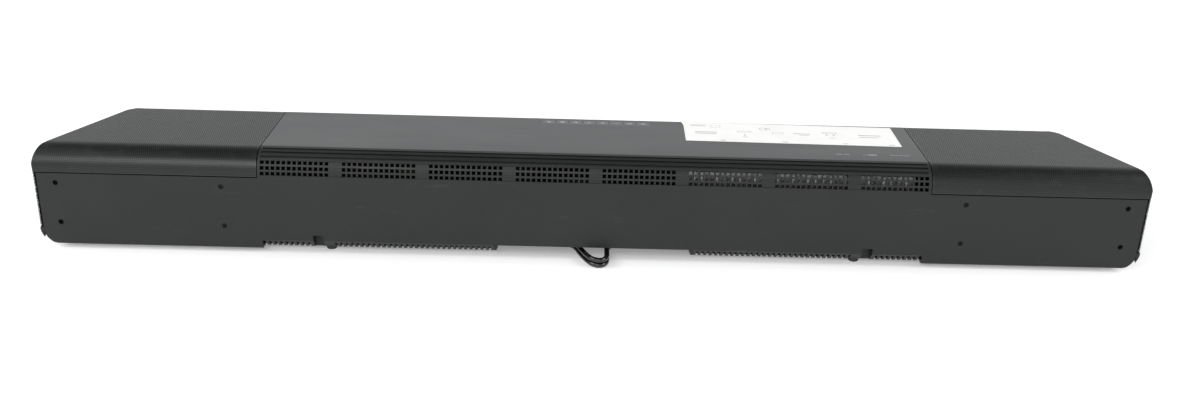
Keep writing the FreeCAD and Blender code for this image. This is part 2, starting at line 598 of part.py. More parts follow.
def end_frame(room):
    """Box frame in the +X end: floor, front leg, rear plate and a tilted lid for a driver."""
    low, (x0, x1) = FLOOR_TOP + GAP, FRAME_X
    front, rear = FRAME_FRONT_Y, FRAME_REAR_Y - FRAME_T
    lid_top = [(y, UPFIRE_Z + (y - UPFIRE_Y) * math.tan(TILT)) for y in (rear, front)]
    drop = FRAME_T / math.cos(TILT)
    lid = lid_top + [(y, z - drop) for y, z in reversed(lid_top)]
    leg_top = lid_top[1][1] - drop / 2
    pieces = [
        polygon(lid, yz(x0), (x1 - x0, 0, 0)),
        block((x0, x1), (front, front + FRAME_T), (low, leg_top)),
        block((x0, x1), (front, rear + FRAME_T / 2), (low, low + FRAME_T)),
        block(FRAME_REAR_X, (rear, FRAME_REAR_Y), (low, FRAME_TOP_Z)),
    ]
    frame = fused(pieces)
    centre, axis = Vector(UPFIRE_X, UPFIRE_Y, UPFIRE_Z), Vector(*upfire_axis())
    cutters = [rod(centre - axis * 4 * FRAME_T, centre + axis * 4 * FRAME_T, UPFIRE_HOLE_R)]
    hole_r = SHANK_R + THREAD_CLEAR
    for x, z, _ in rear_screw_places():
        cutters.append(rod((x, REAR_Y, z), (x, rear - WALL, z), hole_r))
    for x, y in base_screw_places():
        cutters.append(rod((x, y, 0), (x, y, low + 2 * FRAME_T), hole_r))
    return frame.cut(Part.makeCompound(cutters)).common(room)


def basket(outer, inner, throat, depth, flange):
    """Driver frame: flat flange and a cone-shaped wall down to the magnet."""
    wall = 1.5
    return turned([(outer, 0), (inner, 0), (inner, -flange), (throat, -depth + wall),
                   (2.0, -depth + wall), (2.0, -depth), (throat + wall, -depth),
                   (inner + wall, -flange - wall), (inner + wall, -flange), (outer, -flange)])


def magnet(radius, top, length):
    """Ceramic ring with a smaller back plate, as one pressed unit."""
    lip = 1.5
    return turned([(0, -top), (radius, -top), (radius, -top - length + lip),
                   (radius - lip, -top - length), (0, -top - length)])


def cone(rim, neck, depth, cap, coil_end):
    """Paper cone with dust cap and voice coil, one glued unit."""
    skin = 1.2
    dome = [(cap * math.cos(a), 0.35 * cap * math.sin(a) - depth * 0.62)
            for a in (0.0, 0.3, 0.6, 0.9, 1.2)]
    return turned([(rim, 0), (rim, -skin), (neck + skin, -depth), (neck, -coil_end),
                   (neck - skin, -coil_end), (neck - skin, -depth + skin), (0, -depth + 2 * skin),
                   (0, 0.35 * cap - depth * 0.62)] + dome[::-1] + [(rim - skin, 0)])


def surround(rim, inner, height):
    """Half-roll rubber surround between the cone's rim and the flange."""
    clear, skin = 0.3, 0.7
    a, b = rim + clear, inner - clear / 2
    middle, reach = (a + b) / 2, (b - a) / 2
    turns = [math.pi * i / 8 for i in range(9)]
    over = [(middle - reach * math.cos(t), height * math.sin(t)) for t in turns]
    under = [(middle - (reach - skin) * math.cos(t), (height - skin) * math.sin(t) - skin / 3)
             for t in turns]
    return turned(over + under[::-1])


def tweeter():
    """Dome tweeter, one sealed unit."""
    dome = [(12.0 * math.cos(a), 3.2 + 4.0 * math.sin(a)) for a in (0.0, 0.4, 0.8, 1.2)]
    return turned([(0, 7.2)] + dome[::-1] + [(13.5, 3.2), (14.5, 0), (20.0, 0), (20.0, -2.5),
                  (15.0, -2.5), (15.0, -16.0), (0, -16.0)])


def front_places(places):
    y = BAFFLE_FRONT_Y + BAFFLE_T + GAP
    return [((x, y, DRIVER_Z), (0, -1, 0)) for x in places]


def upfire_places():
    axis = upfire_axis()
    seat = Vector(*axis) * (FLANGE_T + GAP)
    return [((side * UPFIRE_X, UPFIRE_Y + seat.y, UPFIRE_Z + seat.z), axis) for side in (-1, 1)]


def at_places(shape, places):
    return [put(shape, position, direction) for position, direction in places]


# ---------------------------------------------------------------- electronics

def board(x, y, z, parts, pegs_to=None):
    """Circuit board with its parts (x, y, width, depth, height), on pegs if it has them."""
    pieces = [block(x, y, (z, z + BOARD_T))]
    for px, py, w, d, h in parts:
        pieces.append(block((px - w / 2, px + w / 2), (py - d / 2, py + d / 2),
                            (z + BOARD_T / 2, z + BOARD_T + h)))
    if pegs_to is not None:
        for px in (x[0] + 2 * PEG_R, x[1] - 2 * PEG_R):
            for py in (y[0] + 2 * PEG_R, y[1] - 2 * PEG_R):
                pieces.append(rod((px, py, pegs_to), (px, py, z + BOARD_T / 2), PEG_R))
    return fused(pieces)


def heat_sink():
    pieces = [block(SINK_X, SINK_Y, SINK_Z)]
    count = int((SINK_X[1] - SINK_X[0] - FIN_T) / FIN_PITCH) + 1
    for i in range(count):
        x = SINK_X[0] + i * FIN_PITCH
        pieces.append(block((x, x + FIN_T), (SINK_Y[1] - FIN_T, FIN_END_Y), SINK_Z))
    return fused(pieces)


def shield_can():
    """Sheet metal lid over the main board's processor, open below."""
    inside = [(low + CAN_T, high - CAN_T) for low, high in (CAN_X, CAN_Y)]
    return block(CAN_X, CAN_Y, CAN_Z).cut(block(*inside, (0, CAN_Z[1] - CAN_T)))


# ---------------------------------------------------------------- cords

def route_edges(route, radii):
    """Straight runs joined by tangent arcs, each as large as its two runs allow."""
    points = [Vector(*p) for p in route]
    edges, last = [], points[0]
    for before, here, after in zip(points, points[1:], points[2:]):
        back, ahead = before - here, after - here
        shorter = min(back.Length, ahead.Length)
        back.normalize()
        ahead.normalize()
        half_turn = (math.pi - back.getAngle(ahead)) / 2
        reach = 0.45 * shorter
        radius = reach / math.tan(half_turn)
        inward = (back + ahead).normalize()
        centre = here + inward * math.hypot(radius, reach)
        start, stop = here + back * reach, here + ahead * reach
        edges.append(Part.LineSegment(last, start).toShape())
        edges.append(Part.Arc(start, centre - inward * radius, stop).toShape())
        radii.append(radius)
        last = stop
    edges.append(Part.LineSegment(last, points[-1]).toShape())
    return edges


def tube(node, route, diameter):
    """Round cord along a route, with its bend radii printed and its volume compared."""
    radii = []
    edges = route_edges(route, radii)
    spine = Part.Wire(edges)
    start = Vector(*route[0])
    ring = Part.Circle(start, Vector(*route[1]) - start, diameter / 2).toShape()
    solid = spine.makePipeShell([Part.Wire([ring])], True, True)
    share = solid.Volume / (math.pi * diameter ** 2 / 4 * spine.Length)
    print(f"{node}: length {spine.Length:.1f}, volume share {share:.3f}, radii "
          + " ".join(f"{r:.1f}" for r in radii))
    return solid


def ribbon(points, half_width, z):
    """Upright wall of even thickness along a plan line, with rounded ends and corners."""
    pieces = []
    for (x0, y0), (x1, y1) in zip(points, points[1:]):
        length = math.hypot(x1 - x0, y1 - y0)
        nx, ny = -(y1 - y0) / length * half_width, (x1 - x0) / length * half_width
        corners = [(x0 + nx, y0 + ny), (x1 + nx, y1 + ny), (x1 - nx, y1 - ny), (x0 - nx, y0 - ny)]
        pieces.append(polygon(corners, xy(z[0]), (0, 0, z[1] - z[0])))
    for x, y in points:
        pieces.append(rod((x, y, z[0]), (x, y, z[1]), half_width))
    return fused(pieces)


def hank_height():
    return CORD_D + (HANK_LAYERS - 1) * LANE


def tie_half():
    """Half the strap's outer width, round the drawn-in turns."""
    return HANK_R - PINCH + CORD_D / 2 + GAP + TIE_T


def cord_hank():
    """Outer shape of the tied hank, with the slack lobe of its two outer turns."""
    wide = 2 * HANK_R + CORD_D
    height = hank_height()
    block_shape = tablet((0, HANK_Y), (2 * HANK_HALF_RUN + wide, wide), (0, height),
                         wide / 2 - LEAST_R / 4)
    hollow_w = wide - 2 * (CORD_D + LANE)
    hollow = tablet((0, HANK_Y), (2 * HANK_HALF_RUN + hollow_w, hollow_w), (-WALL, 2 * height),
                    hollow_w / 2 - LEAST_R / 4)
    ring = block_shape.cut(hollow)
    span = (TIE_X - TIE_W / 2 - GAP, TIE_X + TIE_W / 2 + GAP)
    ring = ring.cut(block(span, (-DEPTH, DEPTH), (-WALL, 2 * height)))
    half, strands = tie_half() - TIE_T - GAP, CORD_D + LANE
    waist = []
    for y in (HANK_Y - half, HANK_Y + half - strands):
        waist.append(block((span[0] - LANE, span[1] + LANE), (y, y + strands),
                           (TIE_T + GAP, TIE_T + GAP + height)))
    return fused([ring, *waist, ribbon(LOBE, CORD_D / 2, (0, height))])


def cord_tie():
    """Strap round the hank's waist."""
    height = hank_height()
    x, half = (TIE_X - TIE_W / 2, TIE_X + TIE_W / 2), tie_half()
    band = block(x, (HANK_Y - half, HANK_Y + half), (0, height + 2 * TIE_T + 2 * GAP))
    inside = block((x[0] - WALL, x[1] + WALL), (HANK_Y - half + TIE_T, HANK_Y + half - TIE_T),
                   (TIE_T, height + TIE_T + 2 * GAP))
    return band.cut(inside)


def plug_frame():
    """The plug's position and heading: it lies on the hank, pins away from the cord."""
    tail = Vector(*TAIL[-1])
    heading = (tail - Vector(*TAIL[-2])).normalize()
    return tail, Vector(heading.x, heading.y, 0).normalize()


def plug_point(along, across):
    start, heading = plug_frame()
    side = Vector(-heading.y, heading.x, 0)
    return start + heading * along + side * across


def plug_body():
    """Flat two-pin plug body with its tapered strain relief."""
    start, heading = plug_frame()
    z = (start.z - PLUG_T / 2, start.z + PLUG_T / 2)
    half, long, neck = PLUG_W / 2, PLUG_NOSE_L + PLUG_L, RELIEF_R + 1
    outline_points = [(PLUG_NOSE_L, neck), (PLUG_NOSE_L + 9, half - 4), (PLUG_NOSE_L + 16, half),
                      (long, half)]
    corners = outline_points + [(a, -b) for a, b in reversed(outline_points)]
    plan = [(plug_point(a, b).x, plug_point(a, b).y) for a, b in corners]
    slab = polygon(plan, xy(z[0]), (0, 0, z[1] - z[0]))
    relief = rod(start, plug_point(PLUG_NOSE_L + 2, 0), CORD_D / 2 + 0.6, RELIEF_R + 0.8)
    return fused([slab, relief])


def plug_pins():
    reach = PLUG_NOSE_L + PLUG_L
    return [rod(plug_point(reach, side * PIN_GAP / 2), plug_point(reach + PIN_L, side * PIN_GAP / 2),
                PIN_R) for side in (-1, 1)]


# ---------------------------------------------------------------- assembly

def shell_parts():
    outer = envelope(0)
    moulded, skin = envelope(WALL), envelope(SKIN)
    save("rear_panel", rear_panel(outer, moulded))
    save("base_pan", base_pan(outer, moulded))
    save("top_panel", top_panel(outer, moulded))
    save("front_grille", front_grille())
    grille = end_grille(outer, skin)
    save("end_grille_left", mirrored(grille))
    save("end_grille_right", grille)
    save("feet", *feet())
    save("rear_screws", *rear_screws())
    save("base_screws", *base_screws())


def control_parts():
    save("control_bezel", control_bezel())
    save("control_board", control_board())
    save("key_switches", *key_switches())
    for number, x in enumerate(key_centres(), 1):
        save(f"key_{number}", key(x))
    save("info_label", info_label())


def acoustic_parts():
    save("front_baffle", front_baffle())
    frame = end_frame(envelope(WALL + GAP))
    save("end_frame_left", mirrored(frame))
    save("end_frame_right", frame)
    woofers, tops = front_places(WOOFER_X), upfire_places()
    save("woofer_baskets", *at_places(basket(*WOOFER_BASKET, FLANGE_T), woofers))
    save("woofer_magnets", *at_places(magnet(*WOOFER_MAGNET), woofers))
    save("woofer_surrounds", *at_places(surround(*WOOFER_SURROUND), woofers))
    for number, shape in enumerate(at_places(cone(*WOOFER_CONE), woofers), 1):
        save(f"woofer_cone_{number}", shape)
    save("tweeters", *at_places(tweeter(), front_places(TWEETER_X)))
    save("upfire_baskets", *at_places(basket(*UPFIRE_BASKET, FLANGE_T), tops))
    save("upfire_magnets", *at_places(magnet(*UPFIRE_MAGNET), tops))
    save("upfire_surrounds", *at_places(surround(*UPFIRE_SURROUND), tops))
    for side, shape in zip(("left", "right"), at_places(cone(*UPFIRE_CONE), tops)):
        save(f"upfire_cone_{side}", shape)
    for side, x in (("left", -WADDING_X), ("right", WADDING_X)):
        save(f"wadding_{side}", tablet((x, WADDING_Y), WADDING_SIZE, WADDING_Z, WADDING_R))


def electronic_parts():
    floor = FLOOR_TOP + GAP
    roof = BAY_TOP + BAY_WALL + GAP
    save("main_board", board(MAIN_X, MAIN_Y, MAIN_Z, MAIN_PARTS, roof))
    save("amp_board", board(AMP_X, SIDE_Y, SIDE_Z, AMP_PARTS, floor))
    save("power_board", board(SUPPLY_X, SIDE_Y, SIDE_Z, SUPPLY_PARTS, floor))
    save("heat_sink", heat_sink())
    save("shield_can", shield_can())
    save("wireless_module", board(RADIO_X, RADIO_Y, RADIO_Z, RADIO_PARTS))
    save("antennas", *[block((x, x + ANTENNA_L), ANTENNA_Y, ANTENNA_Z) for x in ANTENNA_X])
    save("display_board", block(DISPLAY_X, DISPLAY_Y, DISPLAY_Z))
    save("wiring_harness", tube("wiring_harness", LOOM, LOOM_D))


def bay_parts():
    save("cable_bay", cable_bay())
    save("port_plate", port_plate())
    save("hdmi_sockets", *[shell_socket(x, HDMI_W, HDMI_H) for x in HDMI_X])
    save("usb_socket", shell_socket(USB_X, USB_W, USB_H))
    save("optical_socket", optical_socket())
    save("cord_gland", cord_gland())
    save("mains_cord", tube("mains_cord", LEAD, CORD_D))
    save("cord_hank", cord_hank())
    save("cord_tail", tube("cord_tail", TAIL, CORD_D))
    save("cord_tie", cord_tie())
    save("plug_body", plug_body())
    save("plug_pins", *plug_pins())


os.makedirs("parts", exist_ok=True)
shell_parts()
control_parts()
acoustic_parts()
electronic_parts()
bay_parts()
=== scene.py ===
"""A soundbar seen from behind: perforated ends, a slotted vent strip, a paper label, and a tied
hank of mains cord in the cable bay. Metres; X along the bar, +Y to the rear, +Z up."""
import json
import math
from functools import partialmethod

import bmesh
import bpy
from mathutils import Matrix, Vector, noise


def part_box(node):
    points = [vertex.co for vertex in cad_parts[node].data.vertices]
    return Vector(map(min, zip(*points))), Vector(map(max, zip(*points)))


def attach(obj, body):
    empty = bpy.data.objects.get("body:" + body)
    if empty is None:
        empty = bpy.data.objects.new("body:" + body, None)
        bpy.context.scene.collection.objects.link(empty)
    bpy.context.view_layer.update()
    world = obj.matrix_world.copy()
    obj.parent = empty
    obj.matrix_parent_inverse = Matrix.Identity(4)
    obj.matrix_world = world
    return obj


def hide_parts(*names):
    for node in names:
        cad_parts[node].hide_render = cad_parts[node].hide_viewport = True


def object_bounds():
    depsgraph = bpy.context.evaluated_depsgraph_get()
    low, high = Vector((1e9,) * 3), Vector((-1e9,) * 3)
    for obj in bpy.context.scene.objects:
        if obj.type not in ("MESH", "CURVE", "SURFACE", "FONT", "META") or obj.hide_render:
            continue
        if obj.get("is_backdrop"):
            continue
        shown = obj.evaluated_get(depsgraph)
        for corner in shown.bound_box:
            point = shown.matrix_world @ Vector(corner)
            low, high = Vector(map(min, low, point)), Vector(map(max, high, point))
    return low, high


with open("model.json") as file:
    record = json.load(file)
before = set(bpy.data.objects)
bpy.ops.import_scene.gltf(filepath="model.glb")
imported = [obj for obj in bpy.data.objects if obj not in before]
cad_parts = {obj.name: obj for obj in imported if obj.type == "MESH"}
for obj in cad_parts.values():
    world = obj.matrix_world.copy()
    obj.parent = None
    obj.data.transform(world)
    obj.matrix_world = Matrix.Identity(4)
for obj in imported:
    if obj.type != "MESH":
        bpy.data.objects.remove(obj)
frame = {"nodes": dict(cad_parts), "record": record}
CAD_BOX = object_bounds()

MM = 0.001
CABINET = "cabinet"

# ---- Outer form, as the part is drawn ----
HALF_W, REAR_Y, TOP = 600 * MM, 72.5 * MM, 115.1 * MM
END_TAPER = 0.4167
REAR_TOP_R, FRONT_TOP_R, END_TOP_R = 25 * MM, 4 * MM, 1.5 * MM
FRONT_CORNER_R, REAR_CORNER_R = 30 * MM, 1 * MM
SEAM_X, SEAM_Z, RIM_Z, GAP = 361.1 * MM, 87.3 * MM, 24 * MM, 0.3 * MM
CAP_X, CAP_Z = SEAM_X + 0.7 * MM, SEAM_Z + 0.9 * MM      # the caps' edges at those seams
PANEL_Y, PANEL_SIDE_X = REAR_Y - 3.3 * MM, 596.3 * MM    # where the rear panel's pocket starts
FRONT_TOP_Z = 107.7 * MM             # upper edge of the front grille

# ---- Perforated metal ----
PITCH, HOLE_SHARE = 2.1 * MM, 0.5
HEM, FOLD = 0.55, 0.3                # plain metal at an edge and beside a fold, in pitches
LINER_DEPTH, LINER_PITCH = 0.9 * MM, 5 * MM
LATTICE_WELD = 0.05                  # corners that neighbouring hexagons share, in pitches
PRESSED_WELD, NO_AREA = 0.02 * MM, 2e-8

# ---- Mains cord ----
CORD_D, CORD_LENGTH = 5.6 * MM, 1.5
LEAD = [Vector(p) * MM for p in (
    (84.0, 36.0, 30.0), (76.0, 36.0, 30.0), (66.5, 36.2, 27.0), (57.0, 36.4, 20.0),
    (48.0, 36.6, 13.2), (39.0, 36.7, 9.6), (30.5, 37.4, 8.7))]
TAIL = [Vector(p) * MM for p in (
    (37.0, -12.4, 2.9), (50.0, -13.4, 3.1), (63.0, -11.0, 5.4), (74.0, -3.0, 9.6),
    (78.5, 9.0, 14.0), (74.0, 20.0, 17.4), (63.0, 26.0, 18.8), (50.0, 26.0, 19.0),
    (39.0, 23.6, 19.0))]
LOBE = [Vector(p) * MM for p in (
    (23.0, 40.6), (18.4, 49.5), (15.0, 60.5), (10.6, 71.5), (6.0, 81.5), (0.5, 89.0),
    (-6.5, 92.0), (-12.4, 88.2), (-14.8, 79.5), (-14.6, 68.0), (-14.3, 56.0), (-16.0, 45.0),
    (-20.5, 37.0))]
LOBE_ENTRY = [Vector(p) * MM for p in ((41.0, 36.7), (31.5, 37.2))]
HANK_Y, HANK_HALF_RUN = 12.1 * MM, 45 * MM
OUTER_R, INNER_R = 24.4 * MM, 18.5 * MM
LOWER_Z, UPPER_Z = 2.8 * MM, 8.7 * MM
TIE_X, TIE_W, TIE_T, PINCH, LIFT = -31 * MM, 11 * MM, 1.2 * MM, 3.6 * MM, 1.5 * MM


# ---- Node trees ----

class Value:
    """The output of a node. Arithmetic on it adds Math nodes to its tree."""

    def __init__(self, net, socket):
        self.net, self.socket = net, socket

    def maths(self, operation, *others):
        inputs = dict(enumerate((self, *others)))
        return self.net.add("ShaderNodeMath", {"operation": operation}, inputs)

    def __neg__(self):
        return self * -1.0

    def __rsub__(self, other):
        return -self + other

    __add__ = __radd__ = partialmethod(maths, "ADD")
    __sub__ = partialmethod(maths, "SUBTRACT")
    __mul__ = __rmul__ = partialmethod(maths, "MULTIPLY")
    __truediv__ = partialmethod(maths, "DIVIDE")
    least = partialmethod(maths, "MINIMUM")
    most = partialmethod(maths, "MAXIMUM")
    above = partialmethod(maths, "GREATER_THAN")
    below = partialmethod(maths, "LESS_THAN")
    root = partialmethod(maths, "SQRT")


class Net:
    """A shader or geometry node tree under construction."""

    def __init__(self, tree):
        self.tree = tree

    def add(self, kind, settings=(), inputs=(), output=0):
        """A new node: its settings first, then its sockets' values or links."""
        node = self.tree.nodes.new(kind)
        for name, value in dict(settings).items():
            setattr(node, name, value)
        for key, value in dict(inputs).items():
            if isinstance(value, Value):
                self.tree.links.new(value.socket, node.inputs[key])
            else:
                node.inputs[key].default_value = value
        return Value(self, node.outputs[output])

    def also(self, value, output):
        """Another output of the node that made a value."""
        return Value(self, value.socket.node.outputs[output])

    def split(self, vector):
        first = self.add("ShaderNodeSeparateXYZ", {}, {0: vector})
        return first, self.also(first, 1), self.also(first, 2)

    def join(self, x, y, z):
        return self.add("ShaderNodeCombineXYZ", {}, {0: x, 1: y, 2: z})

    def blend(self, factor, first, second):
        """Colour between two colours."""
        return self.add("ShaderNodeMix", {"data_type": "RGBA"}, {0: factor, 6: first, 7: second}, 2)


# ---- Finishes ----

def tone(code, gain=1.0):
    """Linear colour from a six-digit sRGB code."""
    parts = [int(code[i:i + 2], 16) / 255 for i in (0, 2, 4)]
    linear = [p / 12.92 if p <= 0.04045 else ((p + 0.055) / 1.055) ** 2.4 for p in parts]
    return (*[min(1.0, c * gain) for c in linear], 1.0)


class Finish(Net):
    """A material with one shader, whose pattern is built from object coordinates."""

    def __init__(self, name, **constants):
        self.material = bpy.data.materials.new(name)
        self.material.use_nodes = True
        super().__init__(self.material.node_tree)
        self.shader = self.tree.nodes["Principled BSDF"]
        for socket, value in constants.items():
            self.shader.inputs[socket.replace("_", " ")].default_value = value
        self.place = self.add("ShaderNodeTexCoord", output="Object")

    def stretched(self, x, y, z):
        return self.add("ShaderNodeMapping", {}, {0: self.place, 3: (x, y, z)})

    def noise(self, size, detail=2.0, rough=0.5, place=None):
        """Cloudy values from 0 to 1 with features of a size."""
        inputs = {"Vector": place or self.place, "Scale": 1 / size, "Detail": detail,
                  "Roughness": rough}
        return self.add("ShaderNodeTexNoise", {}, inputs)

    def cells(self, size, feature="F1"):
        inputs = {"Vector": self.place, "Scale": 1 / size}
        return self.add("ShaderNodeTexVoronoi", {"feature": feature}, inputs, "Distance")

    def between(self, value, low, high, start=0.0, stop=1.0):
        """A value's range from low to high stretched onto start to stop."""
        inputs = {0: value, 1: low, 2: high, 3: start, 4: stop}
        return self.add("ShaderNodeMapRange", {"clamp": True}, inputs)

    def feed(self, **sockets):
        for socket, value in sockets.items():
            self.tree.links.new(value.socket, self.shader.inputs[socket.replace("_", " ")])

    def bumps(self, height, depth):
        """Relief whose height runs from 0 to 1 over a depth in metres."""
        self.feed(Normal=self.add("ShaderNodeBump", {}, {"Height": height, "Distance": depth}))


def moulded(name, colour, rough, grain=0.55 * MM, depth=0.05 * MM, mottle=0.16, scuff=0.06):
    """Moulded plastic: spark-eroded grain, slow clouding and faint rub marks."""
    f = Finish(name, IOR=1.42)
    cloud = f.noise(90 * MM, 4.0, 0.55)
    speck = f.noise(grain, 3.0, 0.6)
    rub = f.noise(30 * MM, 5.0, 0.7, f.stretched(0.25, 1, 1))
    worn = f.between(rub, 0.62, 0.74)
    tint = f.blend(f.between(cloud, 0.3, 0.7), tone(colour, 1 - mottle), tone(colour, 1 + mottle))
    tint = f.blend(f.between(speck, 0.35, 0.7) * 0.22, tint, tone(colour, 1.7))
    f.feed(Base_Color=f.blend(worn * scuff, tint, tone("8c8c8c")))
    f.feed(Roughness=rough + (speck - 0.5) * 0.16 + (cloud - 0.5) * 0.10 - worn * 0.07)
    f.bumps(speck + f.cells(grain * 1.7) * 0.6, depth)
    return f.material


def satin_plate(name):
    """Smooth top plate: fine satin grain, faint wipe marks along it and a little dust."""
    f = Finish(name, IOR=1.5)
    cloud = f.noise(140 * MM, 3.0)
    wipe = f.noise(26 * MM, 5.0, 0.65, f.stretched(0.16, 1, 1))
    grain = f.noise(0.28 * MM, 2.0)
    dust = f.between(f.cells(9 * MM), 0.0, 0.035, 1.0, 0.0) * f.between(cloud, 0.42, 0.6)
    tint = f.blend(cloud, tone("2b2d2e"), tone("343636"))
    f.feed(Base_Color=f.blend(dust * 0.5, tint, tone("9a9a96")))
    f.feed(Roughness=0.36 + (wipe - 0.5) * 0.16 + (grain - 0.5) * 0.10 + dust * 0.3)
    f.bumps(grain, 0.012 * MM)
    return f.material


def painted_metal(name, colour, rough=0.42):
    """Powder-coated sheet with orange-peel relief and a little dust in it."""
    f = Finish(name, IOR=1.5)
    peel = f.noise(0.9 * MM, 2.0)
    cloud = f.noise(70 * MM, 4.0)
    dust = f.between(f.noise(12 * MM, 6.0, 0.75), 0.55, 0.75)
    tint = f.blend(f.between(cloud, 0.3, 0.7), tone(colour, 0.86), tone(colour, 1.14))
    f.feed(Base_Color=f.blend(dust * 0.05, tint, tone("a5a7a4")))
    f.feed(Roughness=rough + (peel - 0.5) * 0.2 + dust * 0.12)
    f.bumps(peel, 0.03 * MM)
    return f.material


def bare_metal(name, colour, rough=0.28, brushed=(1, 1, 1)):
    """Plated or cast metal, brushed along the direction that is stretched least."""
    f = Finish(name, Metallic=1.0)
    lines = f.noise(0.5 * MM, 4.0, 0.6, f.stretched(*brushed))
    stain = f.noise(14 * MM, 4.0, 0.6)
    f.feed(Base_Color=f.blend(f.between(stain, 0.35, 0.75), tone(colour), tone(colour, 0.72)))
    f.feed(Roughness=rough + (lines - 0.5) * 0.22 + (stain - 0.5) * 0.12)
    f.bumps(lines, 0.01 * MM)
    return f.material


def rubber(name, colour, rough=0.7):
    """Soft rubber: fine pores, a greyish bloom and dust."""
    f = Finish(name, IOR=1.45)
    pores = f.cells(0.6 * MM)
    bloom = f.noise(11 * MM, 5.0, 0.65)
    f.feed(Base_Color=f.blend(f.between(bloom, 0.4, 0.75) * 0.5, tone(colour), tone("4a4946")))
    f.feed(Roughness=rough + (bloom - 0.5) * 0.2)
    f.bumps(pores, 0.04 * MM)
    return f.material


def cord_jacket(name, colour, rough=0.3):
    """Glossy vinyl jacket with the faint wave of the wires inside and rubbed patches."""
    f = Finish(name, IOR=1.52, Coat_Weight=0.25, Coat_Roughness=0.15)
    wave = f.noise(7 * MM, 2.0)
    fine = f.noise(0.5 * MM, 3.0)
    rub = f.between(f.noise(16 * MM, 5.0, 0.7), 0.55, 0.7)
    f.feed(Base_Color=f.blend(rub * 0.25, tone(colour), tone("3a3a3a")))
    f.feed(Roughness=rough + rub * 0.18 + (fine - 0.5) * 0.12)
    f.bumps(wave * 0.8 + fine * 0.2, 0.12 * MM)
    return f.material


def paper(name):
    """Coated label paper with fibres and a faint yellow cast towards its wear."""
    f = Finish(name, IOR=1.45)
    fibre = f.noise(0.7 * MM, 4.0, 0.6, f.stretched(0.4, 1, 1))
    stain = f.noise(45 * MM, 4.0)
    f.feed(Base_Color=f.blend(f.between(stain, 0.45, 0.8) * 0.5, tone("f6f6f4"), tone("ebeae3")))
    f.feed(Roughness=0.5 + (fibre - 0.5) * 0.2)
    f.bumps(fibre, 0.02 * MM)
    return f.material


def ink(name, colour):
    """Printing ink, uneven where the print is thin."""
    f = Finish(name, Roughness=0.55)
    thin = f.noise(0.5 * MM, 3.0, 0.7)
    f.feed(Base_Color=f.blend(f.between(thin, 0.35, 0.7) * 0.6, tone(colour), tone(colour, 1.9)))
    return f.material


def film(name, colour, rough=0.34):
    """Milky film or key plastic, with wipe marks and trapped dust."""
    f = Finish(name, IOR=1.48, Coat_Weight=0.1, Coat_Roughness=0.2)
    wipe = f.noise(7 * MM, 5.0, 0.7, f.stretched(0.3, 1, 1))
    dust = f.between(f.cells(2.6 * MM), 0.0, 0.07, 1.0, 0.0)
    tint = f.blend(f.between(wipe, 0.35, 0.7), tone(colour, 0.85), tone(colour, 1.2))
    f.feed(Base_Color=f.blend(dust * 0.5, tint, tone("b8b8b8")))
    f.feed(Roughness=rough + (wipe - 0.5) * 0.2)
    f.bumps(wipe, 0.02 * MM)
    return f.material


def circuit_board(name):
    """Solder-masked board: tracks as straight cell edges, pads and silkscreen specks."""
    f = Finish(name, IOR=1.5)
    tracks = f.between(f.cells(3.4 * MM, feature="DISTANCE_TO_EDGE"), 0.04, 0.07, 1.0, 0.0)
    pads = f.between(f.cells(2.2 * MM), 0.16, 0.2, 1.0, 0.0)
    cloud = f.noise(20 * MM, 3.0)
    mask = f.blend(cloud, tone("123a22"), tone("1c5230"))
    mask = f.blend(tracks * 0.7, mask, tone("2c7444"))
    f.feed(Base_Color=f.blend(pads, mask, tone("c9c2a4")))
    f.feed(Roughness=0.38 - pads * 0.12, Metallic=pads * 0.8)
    f.bumps(tracks + pads * 1.5, 0.04 * MM)
    return f.material


def cone_paper(name):
    """Pressed paper with long fibres."""
    f = Finish(name, Roughness=0.8)
    fibre = f.noise(1.6 * MM, 6.0, 0.75)
    fine = f.noise(0.3 * MM, 3.0)
    f.feed(Base_Color=f.blend(f.between(fibre, 0.35, 0.65), tone("1b1c1d"), tone("38393a")))
    f.bumps(fibre * 0.7 + fine * 0.3, 0.15 * MM)
    return f.material


def wadding(name):
    """Matted polyester wadding: tangled fibres and loose tufts."""
    f = Finish(name, Roughness=0.95, Sheen_Weight=0.4)
    tangle = f.cells(2.2 * MM, feature="DISTANCE_TO_EDGE")
    tuft = f.noise(9 * MM, 6.0, 0.8)
    f.feed(Base_Color=f.blend(f.between(tuft, 0.3, 0.7), tone("b9bab6"), tone("e9e9e4")))
    f.bumps(tuft + f.between(tangle, 0.0, 0.12, 0.4, 0.0), 1.2 * MM)
    return f.material


def woven(name, colour, pitch=0.9 * MM):
    """Plain weave over Object X and the strap's height, with fuzz."""
    f = Finish(name, Roughness=0.9, Sheen_Weight=0.5)
    x, y, z = f.split(f.place)
    turn = 2 * math.pi / pitch
    over = (x * turn).maths("SINE") * ((y + z) * turn).maths("SINE")
    fuzz = f.noise(0.5 * MM, 5.0, 0.8)
    weave = f.between(over, -0.6, 0.6)
    f.feed(Base_Color=f.blend(weave, tone(colour, 0.6), tone(colour, 1.5)))
    f.bumps(weave * 0.7 + fuzz * 0.5, 0.25 * MM)
    return f.material


def acoustic_cloth(name):
    """Black cloth stretched behind the perforations."""
    f = Finish(name, Roughness=0.95)
    thread = f.cells(0.7 * MM)
    f.feed(Base_Color=f.blend(f.between(thread, 0.2, 0.7), tone("0c0d0d"), tone("1b1d1d")))
    f.bumps(thread, 0.15 * MM)
    return f.material


FLOOR_GLOW = 0.25


def studio_floor(name):
    f = Finish(name, Roughness=0.75)
    cloud = f.noise(400 * MM, 2.0)
    f.feed(Base_Color=f.blend(cloud, tone("f2f2f2"), tone("f8f8f8")))
    f.shader.inputs["Emission Color"].default_value = (1, 1, 1, 1)
    f.shader.inputs["Emission Strength"].default_value = FLOOR_GLOW
    return f.material


